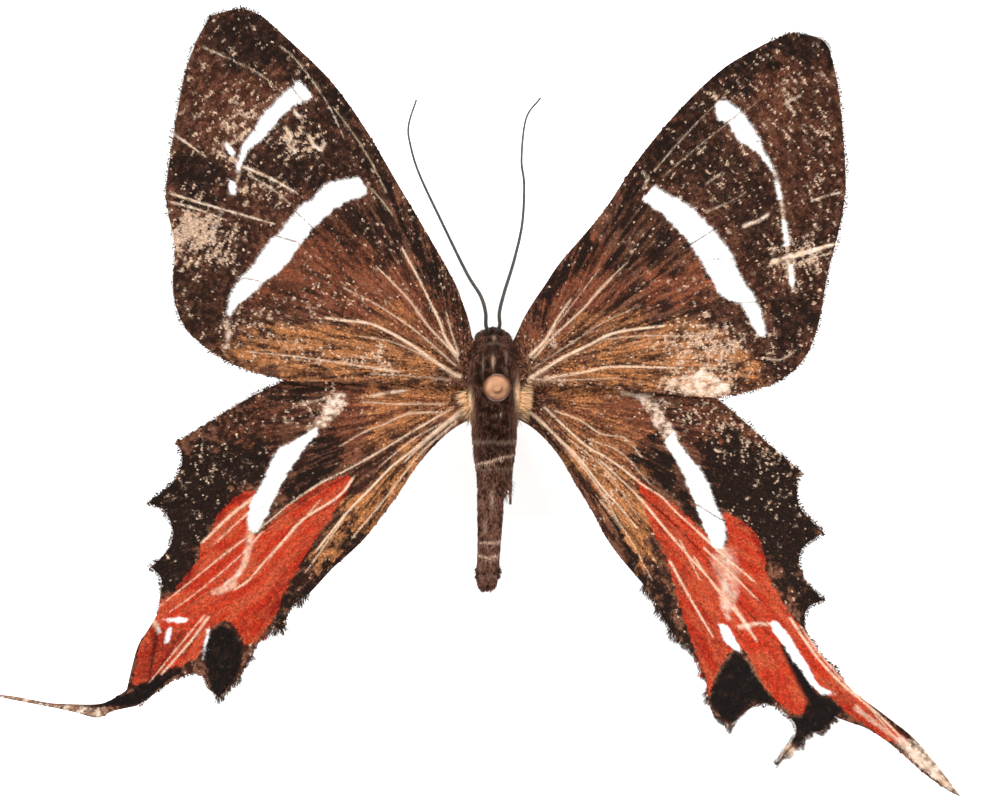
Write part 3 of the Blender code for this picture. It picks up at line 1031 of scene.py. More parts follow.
@dataclass(frozen=True)
class WingPlan:
    """All that one wing's drawing holds."""

    node: str
    level: float
    hinge: Station
    runs: tuple[Run, ...]
    veins: tuple[tuple[Station, ...], ...]
    white: tuple[tuple[Station, ...], ...] = ()
    beige: tuple[tuple[Station, ...], ...] = ()
    beige_lines: tuple[Streak, ...] = ()
    red: tuple[tuple[Station, ...], ...] = ()
    black: tuple[tuple[Station, ...], ...] = ()
    cream: tuple[Streak, ...] = ()
    cuts: tuple[Streak, ...] = ()
    inked: tuple[Streak, ...] = ()
    shade: tuple[Zone, ...] = ()
    rust: tuple[Zone, ...] = ()
    gold: tuple[Zone, ...] = ()
    pale: tuple[Blot, ...] = ()
    flecked: float = 0.02
    dim: float = 0.0
    fringe_rows: tuple[int, ...] = ()
    hair_rows: tuple[int, ...] = ()
    seed: int = 1


FOREWING_LEFT = WingPlan(
    node="forewing_left",
    level=0.275,
    hinge=(462, 368),
    runs=(
        (0.3, ((472, 336), (468, 318), (461.5, 300), (455.5, 284), (431, 240), (398, 184), (363, 125),
            (330, 80), (290, 41), (260, 14))),
        (0.2, ((260, 14), (244, 8.6), (230, 10), (209.7, 16))),
        (0.25, ((209.7, 16), (196, 42), (184.5, 74), (177, 111), (170, 153), (165.5, 192), (168, 214),
            (173.5, 240), (174.5, 258))),
        (0.25, ((174.5, 258), (172.5, 284), (176, 308), (185, 328), (200, 343.5), (222, 359), (254, 373),
            (290, 381))),
        (0.4, ((290, 381), (340, 382), (400, 384), (452, 386), (472, 388))),
        (0.4, ((472, 388), (478, 366), (477, 348), (472, 336))),
    ),
    veins=(
        ((470, 352), (427, 312), (400, 264), (372, 213), (340, 156), (305, 98), (262, 30)),
        ((372, 213), (335, 168), (290, 112), (222, 26)),
        ((470, 364), (427, 328), (394, 284), (362, 250), (336, 232)),
        ((336, 232), (313, 228), (295, 211), (245, 150), (190, 80)),
        ((338, 262), (293, 241), (276, 236), (222, 206), (170, 170)),
        ((340, 296), (300, 288), (254, 280), (205, 266), (176, 252)),
        ((336, 232), (339, 262), (340, 296), (341, 321)),
        ((470, 374), (410, 344), (371, 324), (341, 321), (290, 320), (235, 320), (182, 310)),
        ((390, 333), (350, 345), (300, 349), (250, 352), (210, 344)),
        ((470, 380), (400, 371), (340, 368), (280, 368)),
    ),
    white=(
        (
            (360, 175), (368, 193), (345, 204), (321, 222), (300, 247), (282, 271), (265, 283), (249, 298),
            (236, 310), (229, 320), (226, 312), (231, 293), (238, 279), (250, 267), (269, 240), (277, 233),
            (298, 207), (314, 196), (327, 182), (343, 178),
        ),
        (
            (301, 79), (314, 98), (298, 105), (280, 120), (268, 136), (256, 146), (249, 152), (243, 166),
            (238, 176), (235, 172), (238, 160), (241, 147), (251, 132), (266, 110), (281, 95), (291, 85),
        ),
        ((229, 179), (236, 181), (237, 194), (229, 197)),
        ((223, 140), (229, 142), (236, 152), (233, 158), (226, 151)),
    ),
    beige_lines=(
        Streak(((172, 133), (188, 144), (206, 157)), 2.0, 0.9),
        Streak(((244, 167), (270, 178), (297, 193)), 2.4, 1.0),
        Streak(((250, 176), (274, 190), (290, 204)), 1.6, 0.6),
        Streak(((172, 194), (200, 203), (236, 213), (274, 224)), 2.2, 1.0),
        Streak(((170, 202), (196, 209), (226, 220)), 2.0, 0.9),
        Streak(((280, 46), (296, 60), (311, 79), (329, 106), (344, 138)), 1.4, 0.6),
        Streak(((204, 48), (236, 62), (262, 76), (284, 94)), 1.3, 0.6),
        Streak(((286, 128), (291, 136), (288, 144), (295, 152)), 3.6, 1.0),
        Streak(((309, 136), (314, 146), (321, 150), (325, 143)), 3.6, 1.0),
        Streak(((295, 112), (299, 117), (303, 116)), 3.4, 1.0),
        Streak(((236, 160), (240, 172), (234, 186)), 3.0, 0.8),
        Streak(((226, 322), (229, 334), (226, 348)), 5.0, 0.6),
        Streak(((222, 212), (216, 228), (212, 244)), 2.6, 0.7),
    ),
    cream=(
        Streak(((458, 356), (446, 339), (440, 323), (424, 289), (415, 272), (402, 248)), 2.6),
        Streak(((458, 360), (449, 348), (428, 326), (410, 301), (394, 284), (376, 266)), 2.2, 0.8),
        Streak(((458, 352), (452, 334), (446, 312)), 1.8, 0.7),
        Streak(((460, 377), (449, 371), (429, 357), (410, 344), (393, 334), (371, 324), (348, 321),
            (326, 318)), 3.2),
        Streak(((440, 366), (416, 352), (392, 342), (360, 336)), 1.6, 0.6),
        Streak(((456, 366), (436, 348), (416, 331), (399, 319), (372, 302), (344, 288)), 1.8, 0.7),
        Streak(((386, 192), (370, 160), (352, 132), (334, 108)), 1.6, 0.5),
        Streak(((392, 214), (378, 196), (366, 184)), 1.6, 0.5),
        Streak(((400, 372), (360, 366), (300, 357), (250, 352)), 1.8, 0.7),
        Streak(((450, 380), (410, 376), (370, 374)), 1.6, 0.5),
    ),
    cuts=(
        Streak(((318, 232), (313, 228), (295, 211), (286, 202)), 1.7, 0.9),
        Streak(((298, 242), (293, 241), (276, 236), (262, 232)), 1.7, 0.9),
        Streak(((260, 281), (254, 280), (241, 278), (232, 277)), 1.5, 0.8),
        Streak(((288, 82), (300, 98), (306, 106)), 1.5, 0.8),
        Streak(((254, 128), (262, 140)), 1.5, 0.7),
    ),
    inked=(
        Streak(((176, 172), (222, 200), (276, 232)), 1.6, 0.7),
        Streak(((180, 205), (230, 217), (262, 230)), 1.6, 0.7),
        Streak(((410, 276), (396, 240), (372, 206), (352, 168), (330, 128), (300, 84)), 2.0, 0.5),
        Streak(((341, 321), (290, 320), (235, 318), (188, 310)), 1.6, 0.5),
    ),
    shade=(
        Zone((
            (462, 330), (457, 288), (431, 241), (398, 184), (363, 125), (330, 80), (290, 41), (260, 14),
            (244, 9),
            (230, 12), (212, 20), (203, 52), (235, 66), (285, 70), (316, 96), (348, 138), (380, 192),
            (412, 256),
            (444, 322),
        ), 0.75, 0.25),
        Zone(((172, 262), (190, 262), (222, 272), (236, 290), (226, 330), (234, 350), (205, 352),
            (184, 330)), 0.5),
        Zone(((246, 304), (290, 282), (350, 300), (350, 320), (290, 322), (240, 322)), 0.35),
        Zone(((335, 218), (375, 200), (398, 236), (396, 262), (364, 262), (330, 250), (312, 238)), 0.6),
        Zone(((258, 140), (300, 108), (345, 140), (360, 168), (322, 178), (292, 200), (262, 190),
            (242, 175)), 0.6),
        Zone(((172, 140), (212, 156), (226, 190), (212, 204), (170, 192)), 0.75),
        Zone(((247, 162), (310, 166), (322, 182), (296, 190), (262, 174)), 0.8),
        Zone(((200, 215), (262, 235), (248, 262), (228, 280), (206, 266)), 0.5),
    ),
    rust=(
        Zone(((256, 256), (330, 226), (400, 262), (455, 340), (400, 336), (320, 312),
            (250, 300)), 0.75, 0.8),
        Zone(((200, 80), (250, 70), (280, 95), (250, 130), (200, 130)), 0.12, 0.8),
    ),
    gold=(
        Zone(((226, 356), (250, 334), (320, 322), (376, 334), (444, 372), (380, 378), (290, 374),
            (246, 366)), 0.85, 0.4),
        Zone(((380, 300), (440, 350), (452, 366), (410, 344), (376, 322)), 0.45, 0.4),
    ),
    pale=(
        Blot(190, 226, 20, 20, 1.7), Blot(206, 250, 30, 18, 0.9), Blot(318, 350, 50, 12, 0.7),
        Blot(242, 122, 28, 22, 0.75), Blot(225, 96, 45, 34, 0.25), Blot(302, 146, 26, 24, 0.35),
        Blot(372, 361, 22, 8, 1.5), Blot(226, 150, 12, 10, 1.5), Blot(262, 192, 30, 14, 0.8),
        Blot(299, 116, 7, 6, 0.8), Blot(316, 150, 10, 9, 0.8), Blot(291, 142, 8, 14, 0.8),
        Blot(250, 322, 44, 22, 0.6), Blot(384, 250, 40, 40, 0.25), Blot(372, 176, 8, 14, 0.6),
        Blot(330, 290, 50, 30, 0.25), Blot(320, 300, 16, 10, 0.4),
    ),
    dim=0.5,
    seed=11,
    fringe_rows=(1, 2, 3),
)
FOREWING_RIGHT = WingPlan(
    node="forewing_right",
    level=0.275,
    hinge=(530, 368),
    runs=(
        (0.3, ((515, 337), (525, 316), (534, 301), (545, 285), (561, 261.5), (602, 213), (640, 157),
            (682, 107), (724, 68), (770, 41))),
        (0.2, ((770, 41), (791, 33), (806, 34.6), (822, 39.6), (829, 48))),
        (0.25, ((829, 48), (838, 84), (842.5, 124), (846, 176), (844, 206), (837, 240), (828.5, 272),
            (821, 314))),
        (0.25, ((821, 314), (816, 334), (808, 353), (796, 369), (774, 384), (746, 393), (718, 398))),
        (0.4, ((718, 398), (660, 394), (600, 389), (538, 386), (516, 388))),
        (0.4, ((516, 388), (509, 366), (510, 348), (515, 337))),
    ),
    veins=(
        ((520, 355), (568, 300), (600, 242), (644, 176), (690, 122), (740, 79), (806, 44)),
        ((644, 176), (700, 128), (760, 88), (828, 60)),
        ((520, 362), (568, 323), (594, 297), (625, 264), (655, 242)),
        ((655, 242), (693, 243), (713, 230), (765, 190), (838, 126)),
        ((657, 264), (713, 259), (731, 259), (785, 245), (838, 220)),
        ((655, 294), (700, 300), (760, 302), (822, 298)),
        ((655, 242), (657, 264), (655, 294), (650, 328)),
        ((520, 376), (564, 357), (589, 345), (611, 334), (650, 328), (700, 332), (750, 336), (812, 334)),
        ((589, 345), (640, 352), (700, 360), (760, 364), (800, 356)),
        ((520, 380), (585, 371), (641, 367), (700, 378), (758, 382)),
    ),
    white=(
        (
            (655, 184), (670, 194), (686, 201), (708, 222), (730, 250), (744, 280), (756, 298), (763, 314),
            (766, 332), (763, 342), (757, 336), (749, 322), (740, 306), (720, 297), (708, 275),
            (697, 257), (686, 241), (659, 213), (641, 199),
        ),
        (
            (714, 103), (724, 99), (734, 104), (744, 113), (758, 134), (764, 147), (770, 160), (775, 172),
            (772, 174), (767, 166), (761, 160), (750, 149), (737, 141), (726, 124), (716, 120),
        ),
        ((773, 179), (779, 180), (783, 200), (777, 202)),
        ((780, 218), (787, 220), (790, 246), (784, 248)),
        ((787, 262), (793, 263), (795, 289), (789, 288)),
    ),
    beige_lines=(
        Streak(((744, 226), (758, 221), (768, 215)), 4.0, 1.0),
        Streak(((773, 262), (790, 257), (832, 245)), 5.0, 1.2),
        Streak(((800, 262), (820, 256), (836, 252)), 2.0, 0.8),
        Streak(((786, 260), (790, 276), (793, 292)), 3.0, 0.9),
        Streak(((774, 172), (778, 186), (781, 202), (784, 226), (787, 250), (791, 274),
            (793, 292)), 3.0, 0.8),
        Streak(((812, 201), (826, 196), (840, 193)), 2.0, 0.7),
        Streak(((706, 212), (730, 202), (746, 192)), 1.6, 0.5),
        Streak(((698, 154), (706, 146)), 2.6, 0.7),
        Streak(((706, 184), (720, 174)), 2.0, 0.6),
        Streak(((784, 104), (800, 96)), 2.4, 0.6),
        Streak(((644, 188), (648, 178), (642, 172)), 3.0, 0.8),
        Streak(((764, 358), (780, 360), (796, 350)), 2.0, 0.6),
        Streak(((655, 170), (690, 130), (728, 92)), 1.4, 0.5),
        Streak(((664, 176), (706, 140), (760, 100)), 1.2, 0.35),
    ),
    cream=(
        Streak(((530, 356), (546, 339), (556, 321), (571, 299)), 2.8),
        Streak(((534, 358), (551, 339), (568, 323), (585, 307), (594, 297), (612, 278)), 2.0, 0.8),
        Streak(((548, 340), (556, 348), (552, 330), (560, 334)), 2.0, 0.8),
        Streak(((530, 378), (543, 370), (564, 357), (589, 345), (611, 334), (637, 329), (664, 326)), 3.2),
        Streak(((545, 378), (585, 372), (607, 367), (641, 367), (682, 368)), 2.4, 0.95),
        Streak(((590, 300), (604, 284), (628, 262)), 1.6, 0.6),
        Streak(((552, 330), (576, 300), (600, 268)), 1.4, 0.5),
        Streak(((600, 340), (640, 336), (680, 336)), 1.6, 0.5),
        Streak(((536, 366), (570, 344), (604, 322), (640, 306)), 1.6, 0.5),
        Streak(((534, 380), (570, 380), (620, 378)), 1.6, 0.6),
    ),
    cuts=(
        Streak(((686, 246), (693, 243), (713, 230), (722, 224)), 1.6, 0.9),
        Streak(((704, 259), (713, 259), (731, 259), (740, 258)), 1.4, 0.7),
        Streak(((730, 303), (737, 303), (760, 302)), 1.4, 0.7),
        Streak(((724, 124), (734, 118), (742, 110)), 1.6, 0.9),
        Streak(((756, 142), (764, 140)), 1.5, 0.7),
    ),
    inked=(
        Streak(((575, 339), (607, 312), (637, 291), (668, 268)), 3.0, 0.8),
        Streak(((713, 230), (765, 204), (834, 172)), 1.6, 0.6),
        Streak(((731, 259), (785, 250), (834, 236)), 1.6, 0.6),
        Streak(((656, 302), (720, 303), (818, 299)), 1.8, 0.6),
        Streak(((644, 176), (690, 122), (730, 84), (764, 60)), 2.0, 0.5),
    ),
    shade=(
        Zone((
            (523, 325), (541, 292), (561, 262), (602, 213), (640, 157), (682, 107), (724, 68), (770, 41),
            (791, 33),
            (806, 35), (822, 40), (829, 50), (832, 75), (800, 62), (765, 68), (735, 94), (700, 120),
            (655, 176),
            (615, 228), (572, 282), (536, 326),
        ), 0.75, 0.25),
        Zone(((690, 120), (720, 132), (765, 178), (785, 240), (768, 290), (748, 250), (720, 205),
            (665, 168)), 0.55),
        Zone(((792, 60), (835, 90), (843, 160), (838, 240), (815, 320), (792, 330), (798, 250),
            (786, 170)), 0.4, 0.6),
        Zone(((775, 300), (820, 288), (815, 330), (795, 362), (770, 375), (766, 350)), 0.65),
        Zone(((606, 236), (640, 208), (690, 244), (676, 262), (640, 275), (608, 288)), 0.55),
        Zone(((640, 318), (700, 310), (745, 318), (750, 330), (700, 332), (650, 330)), 0.45),
    ),
    rust=(
        Zone(((642, 266), (700, 264), (714, 290), (690, 298), (648, 300)), 1.0, 0.3),
        Zone(((530, 330), (560, 270), (606, 240), (620, 290), (580, 320), (540, 350)), 0.8, 0.5),
        Zone(((760, 70), (830, 80), (840, 170), (800, 220), (775, 150)), 0.18, 0.8),
    ),
    beige=(((668, 380), (688, 376), (702, 370), (714, 378), (730, 384), (724, 393), (700, 395), (676, 391)),),
    gold=(
        Zone(((548, 374), (611, 340), (680, 328), (730, 345), (764, 372), (720, 392), (640, 388),
            (560, 384)), 0.8, 0.4),
        Zone(((540, 360), (560, 340), (600, 318), (640, 306), (640, 326), (590, 340)), 0.6, 0.4),
    ),
    pale=(
        Blot(700, 386, 34, 9, 2.2), Blot(716, 350, 46, 22, 1.1), Blot(806, 120, 30, 50, 0.5),
        Blot(790, 254, 34, 10, 0.5), Blot(548, 338, 18, 16, 0.45), Blot(690, 340, 40, 15, 0.4),
        Blot(668, 282, 26, 12, 0.6), Blot(640, 240, 24, 16, 0.3), Blot(740, 90, 60, 26, 0.3),
        Blot(730, 180, 40, 40, 0.25), Blot(816, 210, 26, 36, 0.4), Blot(804, 262, 30, 24, 0.5),
        Blot(700, 372, 24, 6, 1.2), Blot(560, 384, 24, 8, 0.4), Blot(640, 350, 60, 20, 0.3),
        Blot(800, 275, 24, 16, 0.35),
    ),
    dim=0.5,
    seed=23,
    fringe_rows=(1, 2, 3),
)
HINDWING_LEFT = WingPlan(
    node="hindwing_left",
    level=-0.275,
    hinge=(462, 400),
    runs=(
        (0.4, ((474, 384), (425, 371), (380, 363), (330, 363), (300, 371), (285, 380))),
        (0.25, ((285, 379), (249, 397), (217, 416.5), (175, 442.5))),
        (0.15, ((175, 442.5), (181, 453.6), (180, 467), (171, 483), (147, 503))),
        (0.15, ((147, 503), (163, 511), (172, 531), (167, 550), (149.5, 567))),
        (0.15, ((149.5, 567), (160, 578), (160, 595), (157.6, 614))),
        (0.15, ((157.6, 614), (148, 630), (139, 644), (133, 664), (127, 690))),
        (0.2, ((127, 690), (110, 700), (98, 703.5), (75, 703.5), (50, 702), (22, 696.5), (1, 693.5))),
        (0.2, ((1, 693.5), (1, 696), (22, 700.5), (50, 706), (75, 711.5), (95, 717), (105, 715.5),
            (112, 711), (140, 705))),
        (0.15, ((140, 705), (164, 687), (182, 677), (200, 675), (208, 688), (218, 698))),
        (0.2, ((218, 698), (239, 677), (256, 646), (270, 631), (283, 628), (291, 607), (311, 592))),
        (0.4, ((311, 592), (333, 568), (351, 552), (367, 536), (379, 520), (397, 496), (412.5, 472),
            (425, 456), (440, 440), (456, 427), (473, 418))),
        (0.4, ((473, 418), (476, 400), (474, 384))),
    ),
    veins=(
        ((468, 400), (383, 405), (320, 405), (250, 410), (184, 438)),
        ((468, 404), (383, 422), (364, 432), (300, 446), (240, 458), (182, 452)),
        ((364, 432), (310, 466), (240, 490), (154, 502)),
        ((468, 406), (405, 434), (372, 456), (319, 484), (267, 522), (215, 548), (155, 567)),
        ((372, 456), (353, 478), (338, 496), (302, 512), (264, 557), (215, 588), (160, 610)),
        ((468, 409), (414, 446), (390, 468), (350, 509), (316, 551), (262, 604), (200, 654), (138, 695)),
        ((414, 446), (372, 487), (334, 530), (298, 580), (258, 626), (221, 690)),
    ),
    white=(
        (
            (318, 424), (306, 433), (291, 441), (278, 448), (270, 459), (265, 473), (258, 487), (251, 500),
            (247, 514), (248, 530), (258, 533), (266, 520), (271, 509), (277, 496), (288, 476), (300, 457),
            (311, 442), (319, 434),
        ),
        ((209, 622), (211, 630), (208, 646), (204, 661), (201, 660), (203, 644), (206, 630)),
        ((160, 618), (176, 616), (190, 617), (188, 623), (172, 624)),
        ((165, 632), (170, 624), (174, 628), (171, 642), (165, 646)),
    ),
    red=(
        (
            (347, 474), (320, 484), (297, 501), (277, 516), (262, 532), (251, 533), (250, 516), (256, 502),
            (256, 491), (240, 494), (218, 515), (213, 528), (202, 543), (200, 557), (187, 575), (174, 590),
            (158, 604), (156, 618), (147, 634), (140, 648), (136, 666), (133, 684), (146, 684), (165, 676),
            (182, 666), (200, 654), (208, 632), (224, 620), (238, 630), (248, 646), (262, 634), (272, 622),
            (277, 612), (285, 592), (295, 575), (304, 558), (322, 530), (340, 504), (352, 480),
        ),
    ),
    black=(
        (
            (213, 628), (224, 625), (236, 634), (242, 648), (240, 668), (230, 684), (219, 698), (211, 688),
            (206, 668), (206, 650), (209, 636),
        ),
        ((138, 686), (131, 692), (100, 698), (97, 706), (118, 706), (142, 702), (166, 682), (184, 670),
            (178, 664)),
    ),
    beige=(
        ((322, 414), (330, 398), (340, 392), (346, 396), (342, 408), (332, 420), (320, 430), (310, 434),
            (306, 428)),
        ((108, 708), (100, 718), (75, 711), (50, 706), (22, 701), (0, 697), (0, 692), (22, 695), (50, 703)),
    ),
    beige_lines=(
        Streak(((252, 520), (248, 550), (240, 572), (222, 588)), 7, 0.75),
        Streak(((232, 584), (222, 590), (214, 592)), 9, 0.7),
        Streak(((300, 404), (320, 400), (340, 396)), 2.4, 0.5),
        Streak(((372, 396), (392, 392), (408, 390)), 3.0, 0.9),
        Streak(((150, 619), (157, 624), (160, 632)), 5, 0.8),
    ),
    cream=(
        Streak(((462, 410), (455, 415), (414, 449), (390, 468), (372, 487), (350, 509), (334, 528),
            (316, 551)), 2.6, 0.95),
        Streak(((460, 414), (430, 438), (404, 462)), 2.6, 0.8),
        Streak(((456, 422), (420, 454), (384, 500), (352, 538)), 2.0, 0.7),
        Streak(((452, 408), (405, 436), (372, 456), (339, 474), (319, 484), (291, 503),
            (267, 523)), 2.0, 0.9),
        Streak(((267, 523), (230, 550), (190, 582), (160, 606)), 1.8, 0.8),
        Streak(((262, 532), (240, 556), (200, 590), (170, 612)), 1.6, 0.8),
        Streak(((353, 478), (339, 496), (302, 520), (284, 540), (264, 562), (249, 580), (234, 590)), 2.4),
        Streak(((253, 498), (232, 514), (202, 543)), 3.2, 0.95),
        Streak(((256, 506), (236, 524), (214, 544)), 2.0, 0.8),
        Streak(((441, 412), (407, 414), (383, 425), (364, 432), (340, 446)), 2.0, 0.7),
        Streak(((320, 500), (296, 528), (268, 560)), 1.6, 0.6),
        Streak(((208, 618), (190, 642), (162, 674)), 2.6, 0.9),
        Streak(((204, 616), (184, 640), (150, 682)), 1.8, 0.8),
        Streak(((345, 516), (325, 545), (306, 572)), 2.0, 0.7),
        Streak(((445, 404), (400, 404), (362, 402)), 2.0, 0.6),
        Streak(((440, 424), (412, 440), (380, 466)), 1.8, 0.6),
    ),
    cuts=(Streak(((268, 500), (262, 508), (252, 512)), 1.4, 0.6),),
    inked=(
        Streak(((464, 412), (440, 430), (414, 454), (390, 476), (366, 506)), 2.4, 0.95),
        Streak(((372, 462), (340, 480), (318, 492), (286, 513), (262, 532)), 1.5, 0.7),
        Streak(((350, 486), (336, 504), (300, 520), (280, 540)), 1.4, 0.5),
        Streak(((204, 560), (180, 586), (160, 606)), 1.8, 0.4),
        Streak(((158, 628), (154, 650), (150, 676)), 3.6, 0.8),
        Streak(((182, 630), (170, 652), (156, 672)), 2.6, 0.6),
        Streak(((200, 630), (188, 648), (172, 662)), 3.0, 0.6),
    ),
    shade=(
        Zone((
            (174, 444), (214, 440), (262, 446), (260, 474), (248, 494), (228, 498), (212, 520), (198, 545),
            (194, 562),
            (178, 582), (156, 606), (146, 570), (170, 535), (142, 503), (178, 470),
        ), 1.7, 0.3),
        Zone(((180, 440), (250, 396), (300, 374), (336, 384), (312, 420), (276, 446), (230, 448)), 0.55),
        Zone(((318, 440), (332, 430), (346, 452), (338, 476), (310, 492), (286, 508), (278, 498),
            (292, 480)), 1.0),
        Zone(((370, 528), (342, 564), (316, 596), (288, 632), (266, 640), (288, 604), (318, 572),
            (348, 534)), 1.7, 0.3),
        Zone(((130, 640), (160, 630), (182, 650), (160, 680), (130, 688)), 0.7, 0.4),
        Zone(((352, 486), (338, 520), (312, 562), (288, 606), (258, 640), (246, 632), (276, 584),
            (304, 540)), 0.5),
    ),
    rust=(
        Zone(((322, 392), (456, 392), (390, 430), (346, 462), (326, 440)), 0.7, 0.5),
        Zone(((220, 430), (290, 392), (300, 420), (262, 446), (226, 450)), 0.5, 0.5),
    ),
    gold=(
        Zone(((458, 404), (390, 412), (366, 436), (400, 436)), 0.7, 0.4),
        Zone(((456, 386), (400, 384), (370, 392), (360, 404), (420, 404), (456, 402)), 1.0, 0.3),
        Zone(((430, 440), (392, 466), (350, 506), (312, 556), (318, 572), (346, 548), (382, 506),
            (424, 452)), 1.2, 0.35),
    ),
    pale=(
        Blot(330, 402, 13, 12, 1.2), Blot(290, 412, 44, 18, 0.6), Blot(214, 452, 34, 20, 0.42),
        Blot(196, 488, 26, 34, 0.26), Blot(166, 588, 9, 14, 0.4), Blot(226, 662, 9, 16, 0.35),
        Blot(370, 410, 60, 14, 0.25), Blot(170, 655, 14, 20, 0.3),
    ),
    flecked=-0.12,
    seed=37,
    fringe_rows=(1, 2, 3, 4, 8),
    hair_rows=(9,),
)
